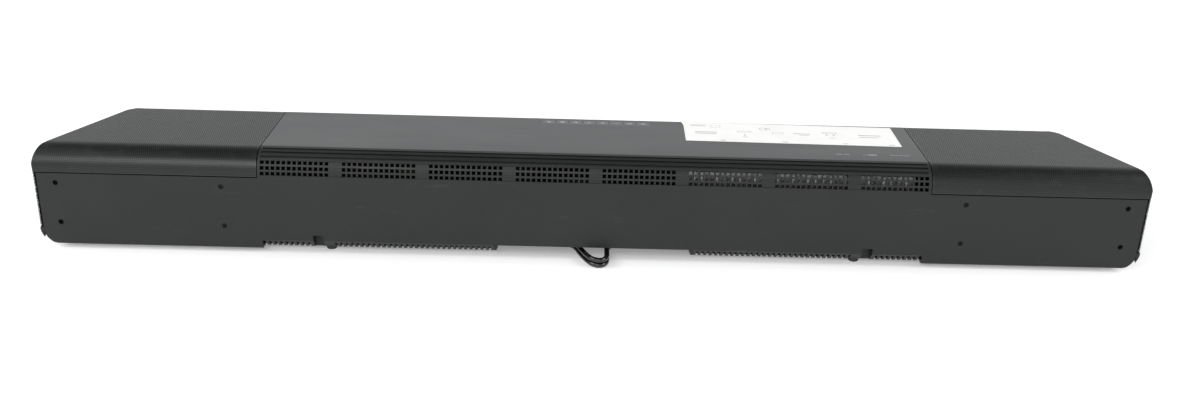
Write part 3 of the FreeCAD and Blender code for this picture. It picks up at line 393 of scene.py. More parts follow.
# Each slot of the parts: the maker of its finish, then its colour, roughness and so on
FINISHES = {slot: make(slot, *values) for slot, (make, *values) in {
    "rear_plastic": (moulded, "1b1c1c", 0.50),
    "base_plastic": (moulded, "202122", 0.55),
    "frame_plastic": (moulded, "18191a", 0.6, 0.8 * MM),
    "top_plastic": (satin_plate,),
    "grille_metal": (painted_metal, "191b1b", 0.33),
    "foot_rubber": (rubber, "262726"),
    "surround_rubber": (rubber, "141414", 0.55),
    "screw_steel": (bare_metal, "2b2b2c", 0.4),
    "basket_steel": (bare_metal, "55585a", 0.45),
    "switch_metal": (bare_metal, "c9cacb", 0.3),
    "bright_steel": (bare_metal, "d2d4d6", 0.25, (0.1, 1, 1)),
    "sink_aluminium": (bare_metal, "e8e9ea", 0.38, (1, 1, 0.1)),
    "pin_metal": (bare_metal, "d8d4c8", 0.2, (1, 0.2, 0.2)),
    "antenna_copper": (bare_metal, "c08040", 0.3),
    "magnet_grey": (moulded, "3c3c40", 0.6, 1.2 * MM),
    "control_film": (film, "35373a"),
    "key_plastic": (film, "484a4d"),
    "board_green": (circuit_board,),
    "label_paper": (paper,),
    "cone_paper": (cone_paper,),
    "tweeter_black": (moulded, "161617", 0.4),
    "wadding_white": (wadding,),
    "socket_black": (moulded, "101011", 0.45),
    "loom_black": (rubber, "131313", 0.6),
    "cord_black": (cord_jacket, "070707", 0.24),
    "gland_black": (cord_jacket, "101011", 0.42),
    "tie_fabric": (woven, "1c1d1f"),
}.items()}
LABEL_INK = ink("label_ink", "6f7275")
MARK_INK = ink("mark_ink", "a9adae")
KEY_INK = ink("key_ink", "c4c6c7")
CLOTH = acoustic_cloth("acoustic_cloth")


# ---- Pieces ----

def placed(name, data):
    """A new object in the scene."""
    obj = bpy.data.objects.new(name, data)
    bpy.context.scene.collection.objects.link(obj)
    return obj


def piece(name, data, slot, stands_for=(), body=CABINET, finish=None):
    """A finished object that rides on a body and may stand for CAD nodes."""
    obj = placed(name, data)
    data.materials.clear()
    data.materials.append(finish or FINISHES[slot])
    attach(obj, body)
    if stands_for:
        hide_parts(*stands_for)
    return obj


def plain_mesh(name, points, faces, smooth=True):
    mesh = bpy.data.meshes.new(name)
    mesh.from_pydata([tuple(p) for p in points], [], faces)
    mesh.validate()
    if smooth:
        mesh.shade_smooth()
    return mesh


def loft(name, rings):
    """Closed skin through rings of points, capped at both ends."""
    count = len(rings[0])
    points = [p for ring in rings for p in ring]
    faces = []
    for i in range(len(rings) - 1):
        a, b = i * count, (i + 1) * count
        for j in range(count):
            k = (j + 1) % count
            faces.append((a + j, a + k, b + k, b + j))
    faces.append(tuple(reversed(range(count))))
    faces.append(tuple(range(len(points) - count, len(points))))
    mesh = plain_mesh(name, points, faces)
    shell = bmesh.new()
    shell.from_mesh(mesh)
    bmesh.ops.recalc_face_normals(shell, faces=shell.faces)
    shell.to_mesh(mesh)
    shell.free()
    return mesh


def rounded_ring(centre, side, up, width, height, power, count=40):
    """Points round a superellipse, from round at power 2 to nearly square."""
    points = []
    for i in range(count):
        a = 2 * math.pi * i / count
        c, s = math.cos(a), math.sin(a)
        x = math.copysign(abs(c) ** (2 / power), c) * width
        y = math.copysign(abs(s) ** (2 / power), s) * height
        points.append(centre + side * x + up * y)
    return points


# ---- Geometry nodes ----

class Recipe(Net):
    """A Geometry Nodes tree with named inputs."""

    KINDS = {bpy.types.Object: "NodeSocketObject", bpy.types.Material: "NodeSocketMaterial"}

    def __init__(self, name, inputs):
        super().__init__(bpy.data.node_groups.new(name, "GeometryNodeTree"))
        face = self.tree.interface
        face.new_socket("Geometry", in_out="OUTPUT", socket_type="NodeSocketGeometry")
        face.new_socket("Geometry", in_out="INPUT", socket_type="NodeSocketGeometry")
        self.given, self.keys = {}, {}
        for label, value in inputs.items():
            kind = self.KINDS.get(type(value), "NodeSocketFloat")
            socket = face.new_socket(label, in_out="INPUT", socket_type=kind)
            self.keys[label] = socket.identifier
        start = self.tree.nodes.new("NodeGroupInput")
        for label in ("Geometry", *inputs):
            self.given[label] = Value(self, start.outputs[label])
        self.values = inputs

    def end(self, geometry):
        """Realises what was placed, gives it its material and ends the tree."""
        real = self.add("GeometryNodeRealizeInstances", {}, {0: geometry})
        painted = self.add("GeometryNodeSetMaterial", {},
                           {"Geometry": real, "Material": self.given["Material"]})
        self.give(painted)

    def give(self, geometry):
        stop = self.tree.nodes.new("NodeGroupOutput")
        self.tree.links.new(geometry.socket, stop.inputs["Geometry"])

    def made(self, name):
        """The tree run once on an empty mesh, as a plain mesh."""
        host = placed(name, bpy.data.meshes.new(name))
        modifier = host.modifiers.new("recipe", "NODES")
        modifier.node_group = self.tree
        for label, value in self.values.items():
            modifier[self.keys[label]] = value
        bpy.context.view_layer.update()
        graph = bpy.context.evaluated_depsgraph_get()
        mesh = bpy.data.meshes.new_from_object(host.evaluated_get(graph))
        mesh.name = name
        bpy.data.objects.remove(host)
        return mesh


def honeycomb(r, pitch, across, along):
    """A flat field of hexagons from the origin, with rows along X."""
    row = pitch * (math.sqrt(3) / 2)
    columns, rows = (across / pitch).maths("CEIL") + 2, (along / row).maths("CEIL") + 2
    grid = r.add("GeometryNodeMeshGrid", {}, {
        "Size X": (columns - 1) * pitch, "Size Y": (rows - 1) * row,
        "Vertices X": columns, "Vertices Y": rows})
    odd = r.add("GeometryNodeInputIndex").maths("MODULO", rows).maths("MODULO", 2.0)
    shift = r.join((columns - 1) * pitch * 0.5 + (odd - 1) * pitch * 0.5,
                   (rows - 1) * row * 0.5, 0.0)
    grid = r.add("GeometryNodeSetPosition", {}, {"Geometry": grid, "Offset": shift})
    hexagon = r.add("GeometryNodeMeshCircle", {"fill_type": "NGON"},
                    {"Vertices": 6, "Radius": pitch / math.sqrt(3)})
    turned = r.add("GeometryNodeTransform", {},
                   {"Geometry": hexagon, "Rotation": (0, 0, math.pi / 6)})
    field = r.add("GeometryNodeInstanceOnPoints", {}, {"Points": grid, "Instance": turned})
    field = r.add("GeometryNodeRealizeInstances", {}, {0: field})
    return r.add("GeometryNodeMergeByDistance", {},
                 {"Geometry": field, "Distance": pitch * LATTICE_WELD})


def weld(r, geometry):
    """Joins points that the edges pressed together and drops faces left with no area."""
    merged = r.add("GeometryNodeMergeByDistance", {},
                   {"Geometry": geometry, "Distance": PRESSED_WELD})
    area = r.add("GeometryNodeInputMeshFaceArea")
    return r.add("GeometryNodeDeleteGeometry", {"domain": "FACE"},
                 {"Geometry": merged, "Selection": area.below(NO_AREA)})


def punch(r, geometry, keep, share):
    """Cuts a hexagonal hole in each face that keep selects."""
    pulled = r.add("GeometryNodeExtrudeMesh", {"mode": "FACES"},
                   {"Mesh": geometry, "Selection": keep, "Offset Scale": 0.0, "Individual": True})
    lid = r.also(pulled, "Top")
    scaled = r.add("GeometryNodeScaleElements", {"domain": "FACE"},
                   {"Geometry": pulled, "Selection": lid, "Scale": share})
    return r.add("GeometryNodeDeleteGeometry", {"domain": "FACE"},
                 {"Geometry": scaled, "Selection": lid})


def stored(r, geometry, name, value):
    return r.add("GeometryNodeStoreNamedAttribute", {"data_type": "FLOAT", "domain": "POINT"},
                 {"Geometry": geometry, "Name": name, "Value": value})


def recalled(r, name):
    return r.add("GeometryNodeInputNamedAttribute", {"data_type": "FLOAT"}, {"Name": name})


def line_object(name, points):
    """A hidden poly line that a recipe samples by length, with its length."""
    curve = bpy.data.curves.new(name, "CURVE")
    curve.dimensions = "3D"
    spline = curve.splines.new("POLY")
    spline.points.add(len(points) - 1)
    for spot, p in zip(spline.points, points):
        spot.co = (*p, 1)
    return placed(name, curve), sum((b - a).length for a, b in zip(points, points[1:]))


def rounded_line(corners, steps=24):
    """Points along an open line whose inner corners (a, b, radius) are rounded."""
    points = [Vector((*corners[0][:2], 0))]
    for before, (a, b, radius), after in zip(corners, corners[1:], corners[2:]):
        here = Vector((a, b, 0))
        back = (Vector((*before[:2], 0)) - here).normalized()
        ahead = (Vector((*after[:2], 0)) - here).normalized()
        half = back.angle(ahead) / 2
        centre = here + (back + ahead).normalized() * (radius / math.sin(half))
        first = (here + back * (radius / math.tan(half)) - centre).normalized()
        last = (here + ahead * (radius / math.tan(half)) - centre).normalized()
        points += [centre + first.slerp(last, i / steps) * radius for i in range(steps + 1)]
    points.append(Vector((*corners[-1][:2], 0)))
    return points


def sampled(r, line, length):
    """X, Y and Z of a line object at a length along it."""
    shape = r.add("GeometryNodeObjectInfo", {}, {0: line}, "Geometry")
    spot = r.add("GeometryNodeSampleCurve", {"mode": "LENGTH", "use_all_curves": True},
                 {"Curves": shape, "Length": length}, "Position")
    return r.split(spot)


def rounded_over(value, start, radius):
    """Height of an edge that turns down from the top beyond start."""
    over = (value - start).most(0.0).least(radius)
    return (radius * radius - over * over).most(0.0).root() + (TOP - radius)


def end_shift(y):
    """How far the slanted end has come in at a depth."""
    return (REAR_Y - y) * END_TAPER


def corner_arc(sign, radius):
    """Centre of a plan corner's rounding, and where it meets the slanted end."""
    slant = math.hypot(1, END_TAPER)
    y = sign * (REAR_Y - radius)
    x = HALF_W - end_shift(y) - radius * slant
    return x, y, y - radius * END_TAPER / slant


def end_wall(y):
    """X of the body's outline at a depth, and whether a corner bounds it there."""
    x, front_y, front_end = corner_arc(-1, FRONT_CORNER_R)
    front = (FRONT_CORNER_R ** 2 - (y - front_y) * (y - front_y)).most(0.0).root() + x
    x, rear_y, rear_end = corner_arc(1, REAR_CORNER_R)
    rear = (REAR_CORNER_R ** 2 - (y - rear_y) * (y - rear_y)).most(0.0).root() + x
    is_front, is_rear = y.below(front_end), y.above(rear_end)
    corner = is_front + is_rear
    line = HALF_W - end_shift(y)
    return is_front * front + is_rear * rear + (1.0 - corner) * line, corner


def cap_top(r, flat, pitch):
    """Field over the top, the rear band and the end's rounding: X runs out, Y to the front."""
    t, s, _ = r.split(r.add("GeometryNodeInputPosition"))
    _, y, side_z = sampled(r, r.given["Section"], s)
    reach, _, _ = sampled(r, r.given["End"], t)
    wall, corner = end_wall(y)
    free = reach - end_shift(y)
    x = free.least(wall).most(CAP_X)
    z = side_z.least(rounded_over(x + end_shift(y), HALF_W - END_TOP_R, END_TOP_R))
    inner = (r.given["End length"] - t).least(r.given["Section length"] - s)
    inner = inner.least(wall - free + (1.0 - corner))
    return bent(r, flat, pitch, r.join(x, y, z), (free - CAP_X).least(s), inner)


def cap_wall(r, flat, pitch):
    """Field round the front, the corner and the end: X follows the plan, Y is height."""
    w, h, _ = r.split(r.add("GeometryNodeInputPosition"))
    x, y, _ = sampled(r, r.given["Plan"], w)
    crest = rounded_over(x + end_shift(y), HALF_W - END_TOP_R, END_TOP_R)
    crest = crest.least(rounded_over(-y, REAR_Y - FRONT_TOP_R, FRONT_TOP_R))
    crest = crest.least(rounded_over(y, REAR_Y - REAR_TOP_R, REAR_TOP_R))
    free = h + (RIM_Z + GAP)
    edge = h.least(w).least(r.given["Plan length"] - w)
    return bent(r, flat, pitch, r.join(x, y, free.least(crest)), edge, crest - free)


def bent(r, flat, pitch, spot, edge, inner):
    """A field moved to its place, and which of its faces are far enough from its borders."""
    flat = stored(r, flat, "edge", edge)
    flat = stored(r, flat, "inner", inner)
    flat = r.add("GeometryNodeSetPosition", {}, {"Geometry": flat, "Position": spot})
    keep = recalled(r, "edge").above(pitch * HEM) * recalled(r, "inner").above(pitch * FOLD)
    return weld(r, flat), keep


def cap_lines():
    """The end cap's section, end profile and plan, as lines that the recipes sample."""
    section = rounded_line([(REAR_Y, CAP_Z, 0), (REAR_Y, TOP, REAR_TOP_R),
                            (-REAR_Y, TOP, FRONT_TOP_R), (-REAR_Y, TOP - FRONT_TOP_R, 0)])
    section = [Vector((0, p.x, p.y)) for p in section]
    end = rounded_line([(CAP_X, TOP, 0), (HALF_W, TOP, END_TOP_R), (HALF_W, TOP - END_TOP_R, 0)])
    front_x = HALF_W - 2 * REAR_Y * END_TAPER
    plan = rounded_line([(CAP_X, -REAR_Y, 0), (front_x, -REAR_Y, FRONT_CORNER_R),
                         (HALF_W, REAR_Y, REAR_CORNER_R), (front_x, REAR_Y, 0)])
    plan = [p for p in plan if p.y < PANEL_Y or p.x > PANEL_SIDE_X]
    return section, end, plan


def cap_mesh(name, lines, pitch, finish, depth=0.0, holes=True):
    """Perforated sheet of the +X end cap, or the cloth that lies a depth behind it."""
    inputs = {}
    for label, (helper, length) in lines.items():
        inputs[label], inputs[label + " length"] = helper, length
    inputs.update({"Pitch": pitch, "Height": TOP - RIM_Z, "Hole share": HOLE_SHARE,
                   "Depth": depth, "Material": finish})
    r = Recipe(name, inputs)
    step, share = r.given["Pitch"], r.given["Hole share"]
    top = honeycomb(r, step, r.given["End length"], r.given["Section length"])
    top, top_keep = cap_top(r, top, step)
    wall = honeycomb(r, step, r.given["Plan length"], r.given["Height"])
    wall, wall_keep = cap_wall(r, wall, step)
    if holes:
        top, wall = punch(r, top, top_keep, share), punch(r, wall, wall_keep, share)
    top = r.add("GeometryNodeFlipFaces", {}, {0: top})
    both = r.add("GeometryNodeJoinGeometry", {}, {0: top})
    r.tree.links.new(wall.socket, both.socket.node.inputs[0])
    finish_sheet(r, both)
    return r.made(name)


def finish_sheet(r, sheet):
    """Sinks a sheet by its depth, shades it smooth and ends the tree."""
    normal = r.split(r.add("GeometryNodeInputNormal"))
    offset = r.join(*[part * -r.given["Depth"] for part in normal])
    sheet = r.add("GeometryNodeSetPosition", {}, {"Geometry": sheet, "Offset": offset})
    r.end(r.add("GeometryNodeSetShadeSmooth", {}, {0: sheet}))


def mirrored(mesh, name):
    """The -X end's copy of a mesh."""
    other = mesh.copy()
    other.name = name
    other.transform(Matrix.Scale(-1, 4, (1, 0, 0)))
    other.flip_normals()
    return other


def end_caps():
    lines = {label: line_object(label, points)
             for label, points in zip(("Section", "End", "Plan"), cap_lines())}
    sheet = cap_mesh("end_grille_sheet", lines, PITCH, FINISHES["grille_metal"])
    liner = cap_mesh("end_grille_cloth", lines, LINER_PITCH, CLOTH, LINER_DEPTH, holes=False)
    for helper, _ in lines.values():
        bpy.data.objects.remove(helper)
    for side in ("right", "left"):
        layers = (("sheet", sheet, [f"end_grille_{side}"], None), ("cloth", liner, (), CLOTH))
        for layer, mesh, stands_for, finish in layers:
            name = f"end_grille_{side}_{layer}"
            shape = mirrored(mesh, name) if side == "left" else mesh
            piece(name, shape, "grille_metal", stands_for, finish=finish)


def front_mesh(name, pitch, finish, depth=0.0, holes=True):
    """Perforated sheet across the front, or the cloth behind it."""
    width, height = 2 * (SEAM_X - GAP), FRONT_TOP_Z - RIM_Z - GAP
    r = Recipe(name, {"Width": width, "Height": height, "Pitch": pitch,
                      "Hole share": HOLE_SHARE, "Depth": depth, "Material": finish})
    step, width, height = r.given["Pitch"], r.given["Width"], r.given["Height"]
    flat = honeycomb(r, step, width, height)
    across, up, _ = r.split(r.add("GeometryNodeInputPosition"))
    x = across.least(width).most(0.0) - width * 0.5
    spot = r.join(x, -REAR_Y, up.least(height).most(0.0) + (RIM_Z + GAP))
    edge = across.least(width - across).least(up).least(height - up)
    flat, keep = bent(r, flat, step, spot, edge, edge)
    if holes:
        flat = punch(r, flat, keep, r.given["Hole share"])
    finish_sheet(r, flat)
    return r.made(name)


def front_grille():
    sheet = front_mesh("front_grille_sheet", PITCH, FINISHES["grille_metal"])
    piece("front_grille_sheet", sheet, "grille_metal", ["front_grille"])
    cloth = front_mesh("front_grille_cloth", LINER_PITCH, CLOTH, LINER_DEPTH, holes=False)
    piece("front_grille_cloth", cloth, "grille_metal", finish=CLOTH)


# ---- Label and print ----

LABEL_HALF, LABEL_AT = Vector((121.25, 32.75)) * MM, Vector((-222.5, -34.8)) * MM
LABEL_TURN, CURL_REACH, CURL_RISE, PAPER_T = math.radians(-0.9), 15 * MM, 2.2 * MM, 0.15 * MM
TAB = 5 * MM                         # how far the peeling corner reaches out
STROKE_LIFT, LABEL_STEP = 0.04 * MM, 2.4 * MM


def label_spot(across, down, lift=0.0):
    """Place on the label, read from behind: across to the right, down towards the reader."""
    u, v = -across, down
    corner = (LABEL_HALF.x - u) + (v + LABEL_HALF.y)
    loose = max(0.0, 1 - corner / CURL_REACH) ** 2
    rise = CURL_RISE * loose
    u += TAB * loose
    c, s = math.cos(LABEL_TURN), math.sin(LABEL_TURN)
    return Vector((LABEL_AT.x + u * c - v * s, LABEL_AT.y + u * s + v * c,
                   TOP + PAPER_T + rise + lift))


def top_spot(across, down, lift=0.0):
    """Place on the top plate, read from behind, from the middle of the bar."""
    return Vector((-across, down, TOP + lift))


def field_mesh(name, spot, half, step):
    """Even grid over a rectangle, laid where spot puts it."""
    columns, rows = (math.ceil(2 * size / step) for size in half)
    points, faces = [], []
    for j in range(rows + 1):
        for i in range(columns + 1):
            points.append(spot(half[0] * (2 * i / columns - 1), half[1] * (2 * j / rows - 1)))
    for j in range(rows):
        for i in range(columns):
            a = j * (columns + 1) + i
            faces.append((a, a + columns + 1, a + columns + 2, a + 1))
    return plain_mesh(name, points, faces)


def stroke_mesh(name, strokes, spot):
    """Flat printed strokes: each a width and the points (across, down) of its line, in mm."""
    points, faces = [], []
    for width, line in strokes:
        line = [Vector(p) for p in line]
        closed = (line[0] - line[-1]).length < 1e-6
        start = len(points)
        for i, here in enumerate(line):
            before = line[i - 1] if i else (line[-2] if closed else here)
            after = line[i + 1] if i + 1 < len(line) else (line[1] if closed else here)
            along = (after - before).normalized()
            across = Vector((-along.y, along.x)) * width / 2
            points += [spot(*((here + across) * MM), STROKE_LIFT),
                       spot(*((here - across) * MM), STROKE_LIFT)]
        faces += [(i, i + 1, i + 3, i + 2) for i in range(start, len(points) - 2, 2)]
    mesh = plain_mesh(name, points, faces, smooth=False)
    if mesh.polygons[0].normal.z < 0:
        mesh.flip_normals()
    return mesh


def bar(x, y, length, width=0.9):
    return width, [(x, y), (x + length, y)]


def box(x, y, w, h, width=0.5):
    """Outline of a rectangle; the stroke that runs back covers its corner."""
    half = width / 2
    corners = [(x, y), (x + w, y), (x + w, y + h), (x, y + h)]
    return [(width, [(a[0] - half * (b[0] < a[0]), a[1]), b])
            for a, b in zip(corners, corners[1:] + corners[:1])]


def ring(x, y, radius, width=0.5, start=0.0, turn=360.0):
    steps = 20
    angles = [math.radians(start + turn * i / steps) for i in range(steps + 1)]
    return width, [(x + radius * math.cos(a), y + radius * math.sin(a)) for a in angles]


def arrow(x, y, reach, width=0.5):
    tip = y + reach
    head = math.copysign(1.6, reach)
    return [(width, [(x, y), (x, tip)]), (width, [(x - 1.4, tip - head), (x, tip)]),
            (width, [(x + 1.4, tip - head), (x, tip)])]


def label_strokes():
    """A generic instruction sheet: plain rules for text and four outline pictures."""
    strokes = [bar(-113, -22.5, 19), bar(-113, -19.3, 17), *box(-90, -23, 11, 8, 0.35)]
    strokes += [bar(-109, 1.5, 25, 1.3), bar(-109, 6.5, 24, 1.3)]
    strokes += [*box(-60, -5, 15, 3.2), *arrow(-52.5, 4, 6), ring(-52.5, 14.5, 2.0)]
    strokes += [*box(-33, -18, 7, 7), ring(-24, -14.5, 2.6), *box(-20, -4, 12, 5, 0.35)]
    strokes += [bar(4, -1.5, 19, 1.2), bar(10, 3, 11, 0.9)]
    strokes += [*box(38, -9, 16, 3.4), *arrow(42, -3.5, 5), *arrow(50, -3.5, 5),
                bar(44, 10, 6, 0.8)]
    strokes += [bar(78, -2, 26, 1.4), bar(78, 4.5, 23, 1.2)]
    for x in (-82, -12, 56, 108):
        strokes.append(bar(x, 28.5, 6, 1.4))
    return strokes


def plate_marks():
    """Light marks along the top plate's rear edge: plain bars and outlines."""
    strokes = [bar(264, 29, 6, 1.1), bar(271.5, 29, 7, 0.8)]
    strokes += [bar(293, 29.4, 4, 0.8), *box(299, 27.6, 9, 3.2, 0.6), bar(301, 29.2, 5, 0.8)]
    strokes += [bar(323 + 3.1 * i, 29 + 0.2 * (i % 2), 2.3, 0.9) for i in range(7)]
    return strokes


def key_icon(number):
    """Generic symbol of one key, about 4 mm across, centred on the key."""
    icons = {
        1: [ring(0, 0, 1.9, 0.5, -60, 300), (0.5, [(0, -2.6), (0, -0.4)])],
        2: [*box(-2, -1.5, 4, 3), (0.5, [(-3.4, 0), (-0.4, 0)])],
        3: [(0.5, [(-2, 0), (2, 0)])],
        4: [(0.5, [(-2, 0), (2, 0)]), (0.5, [(0, -2), (0, 2)])],
        5: [(0.6, [(-1.4, -1.8), (1.8, 0), (-1.4, 1.8), (-1.4, -1.8)])],
        6: [(0.7, [(-1, -1.8), (-1, 1.8)]), (0.7, [(1, -1.8), (1, 1.8)])],
        7: [ring(0, 0, 2.0), ring(0, 0, 0.7)],
        8: [(0.5, [(-2, -1.5), (0, 0.5), (2, -1.5)]), (0.5, [(-2, 0.5), (0, 2.5), (2, 0.5)])],
    }
    return icons[number]


def label_and_print():
    sheet = field_mesh("info_label_sheet", label_spot, LABEL_HALF, LABEL_STEP)
    sheet = piece("info_label_sheet", sheet, "label_paper", ["info_label"])
    thick = sheet.modifiers.new("paper", "SOLIDIFY")
    thick.thickness, thick.offset = PAPER_T, -1.0
    piece("info_label_print", stroke_mesh("info_label_print", label_strokes(), label_spot),
          "label_paper", finish=LABEL_INK)
    piece("top_panel_marks", stroke_mesh("top_panel_marks", plate_marks(), top_spot),
          "top_plastic", finish=MARK_INK)
    for number in range(1, 9):
        low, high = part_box(f"key_{number}")
        middle = (low + high) / 2

        def spot(across, down, lift, middle=middle):
            return Vector((middle.x - across, middle.y + down, TOP + lift))

        name = f"key_{number}_symbol"
        piece(name, stroke_mesh(name, key_icon(number), spot), "key_plastic",
              body=f"key_{number}_cap", finish=KEY_INK)


# ---- Mains cord ----

def eased(value):
    value = max(0.0, min(1.0, value))
    return value * value * (3 - 2 * value)


# Each turn of the hank: its half width, its height and whether it has the slack lobe; then the
# stretch of the +X end, in degrees, over which it moves to the next turn's place.
TURNS = ((OUTER_R, UPPER_Z, True, (20, 75)), (INNER_R, UPPER_Z, False, (0, 60)),
         (INNER_R, LOWER_Z, False, (-45, 10)), (OUTER_R, LOWER_Z, True, None))
NEAR_X = [x * MM for x in (33, 19, 5, -8)]
FAR_X = [x * MM for x in (-6, 8, 22, 35)]
NECK_IN_X, NECK_OUT_X = -18 * MM, -17 * MM     # where the strands start and stop closing in
WAIST_X = [x * MM for x in (-26, -36)]         # under the tie
TIED_START, TIED_STEP = 96, 28                 # degrees round the -X end
FREE_START, FREE_STEP = -75, 30                # degrees round the +X end
END_STEPS, BULGE = 7, 1.02


def near_run(index, half, z, slack):
    """The run on the rear side, heading for -X, with its lobe or straight."""
    if slack:
        entry = LOBE_ENTRY if index else []
        return [Vector((p.x, p.y, z)) for p in entry + LOBE]
    run = [Vector((x, HANK_Y + half, z)) for x in NEAR_X]
    return run + [Vector((NECK_IN_X, HANK_Y + half - PINCH / 2, z + LIFT / 2))]


def tied_end(half, z):
    """In through the tie, round the -X end and out through the tie again."""
    waist = half - PINCH
    into = [Vector((x, HANK_Y + waist, z + LIFT)) for x in WAIST_X]
    angles = [math.radians(TIED_START + TIED_STEP * k) for k in range(END_STEPS)]
    bend = [Vector((-HANK_HALF_RUN + half * BULGE * math.cos(a),
                    HANK_Y + half * BULGE * math.sin(a), z)) for a in angles]
    out = [Vector((p.x, 2 * HANK_Y - p.y, p.z)) for p in reversed(into)]
    return into + bend + out + [Vector((NECK_OUT_X, HANK_Y - half + PINCH / 2, z + LIFT / 2))]


def free_end(index):
    """Round the +X end, over to the next turn's place."""
    half, z, _, (first, last) = TURNS[index]
    next_half, next_z = TURNS[index + 1][:2]
    bend = []
    for k in range(END_STEPS - 1):
        angle = FREE_START + FREE_STEP * k
        share = eased((angle - first) / (last - first))
        radius = (half + (next_half - half) * share) * BULGE
        a = math.radians(angle)
        bend.append(Vector((HANK_HALF_RUN + radius * math.cos(a), HANK_Y + radius * math.sin(a),
                            z + (next_z - z) * share)))
    return bend


def cord_route():
    """Out of the gland, four turns of the hank, and the tail that lies on it."""
    route = list(LEAD)
    for index, (half, z, slack, _) in enumerate(TURNS):
        route += near_run(index, half, z, slack) + tied_end(half, z)
        final = index == len(TURNS) - 1
        route += [Vector((x, HANK_Y - half, z)) for x in (FAR_X[:-1] if final else FAR_X)]
        if not final:
            route += free_end(index)
    return route + TAIL


def cord_curve():
    curve = bpy.data.curves.new("mains_cord_whole", "CURVE")
    curve.dimensions = "3D"
    curve.bevel_depth, curve.bevel_resolution = CORD_D / 2, 5
    curve.resolution_u, curve.use_fill_caps = 6, True
    spline = curve.splines.new("NURBS")
    route = cord_route()
    spline.points.add(len(route) - 1)
    for spot, p in zip(spline.points, route):
        spot.co = (*p, 1)
    spline.order_u = 3
    spline.use_endpoint_u = True
    return curve


def relief_rings(start, axes, step, radii, profile, count):
    """Rings of a tapered relief. A rib's profile says how far along and how wide each ring is."""
    along, side, up = axes
    rings = []
    for i, radius in enumerate(radii):
        for shift, size in profile:
            spot = start + along * (step * i + shift)
            rings.append(rounded_ring(spot, side, up, radius * size, radius * size, 2, count))
    return rings


GLAND_RIBS, GLAND_STEP = 9, 22 * MM / 9
GLAND_RADII = [(6 - 2.1 * i / (GLAND_RIBS - 1)) * MM for i in range(GLAND_RIBS)]
GLAND_RIB = [(share * GLAND_STEP, size) for share, size in (
    (0.0, 0.86), (0.12, 1.0), (0.6, 1.0), (0.72, 0.86))]


def gland():
    """Ribbed strain relief from the bay's side wall."""
    along = Vector((-1, 0, 0))
    side = along.orthogonal().normalized()
    rings = relief_rings(Vector((106.2, 36, 30)) * MM, (along, side, along.cross(side)),
                         GLAND_STEP, GLAND_RADII, GLAND_RIB, 28)
    return piece("cord_gland_relief", loft("cord_gland_relief", rings), "gland_black",
                 ["cord_gland"])


# Sections of the plug's body: distance from the cord's end, half width, half height, squareness
PLUG = ((17.0, 5.4, 4.9, 2.2), (19.5, 6.4, 5.3, 2.3), (23.0, 9.6, 6.0, 2.6),
        (27.0, 13.4, 6.45, 3.0), (31.0, 16.2, 6.7, 3.4), (35.0, 17.3, 6.75, 3.8),
        (50.5, 17.4, 6.75, 4.2), (52.8, 17.1, 6.5, 4.2), (54.0, 16.2, 5.8, 4.0))
SHOULDERS = 6                        # how many of them come before the finger grips
GRIPS, GRIP_START, GRIP_STEP = 6, 36.0, 2.2
GRIP_W, GRIP_H, GRIP_POWER = 17.4, 6.75, 4.0
GRIP = ((0.0, 0.0), (0.5, 0.7), (1.3, 0.7), (1.8, 0.0))      # how far along, how deep
PLUG_RIB_STEP, PLUG_RADII = 2.1 * MM, [(3.5 + 0.2 * i) * MM for i in range(8)]
PLUG_RIB = [(shift * MM, size) for shift, size in (
    (0.0, 0.88), (0.3, 1.0), (1.2, 1.0), (1.5, 0.88))]


def plug():
    """Flat two-pin plug: ribbed relief, soft shoulders and finger grips along its sides."""
    tail = TAIL[-1]
    along = TAIL[-1] - TAIL[-2]
    along = Vector((along.x, along.y, 0)).normalized()
    side, up = Vector((-along.y, along.x, 0)), Vector((0, 0, 1))
    rings = relief_rings(tail, (along, side, up), PLUG_RIB_STEP, PLUG_RADII, PLUG_RIB, 40)
    grips = [(GRIP_START + GRIP_STEP * i + shift, GRIP_W - dent, GRIP_H, GRIP_POWER)
             for i in range(GRIPS) for shift, dent in GRIP]
    for a, w, h, power in [*PLUG[:SHOULDERS], *grips, *PLUG[SHOULDERS:]]:
        rings.append(rounded_ring(tail + along * a * MM, side, up, w * MM, h * MM, power))
    return piece("plug_shell", loft("plug_shell", rings), "gland_black", ["plug_body"])


STRAP_R, STRAP_STEPS, STRAP_LAP = 3.4 * MM, 72, 9
STRAP_START, STRAP_FLATS = -0.3, 1.35          # radians; how straight the sides are


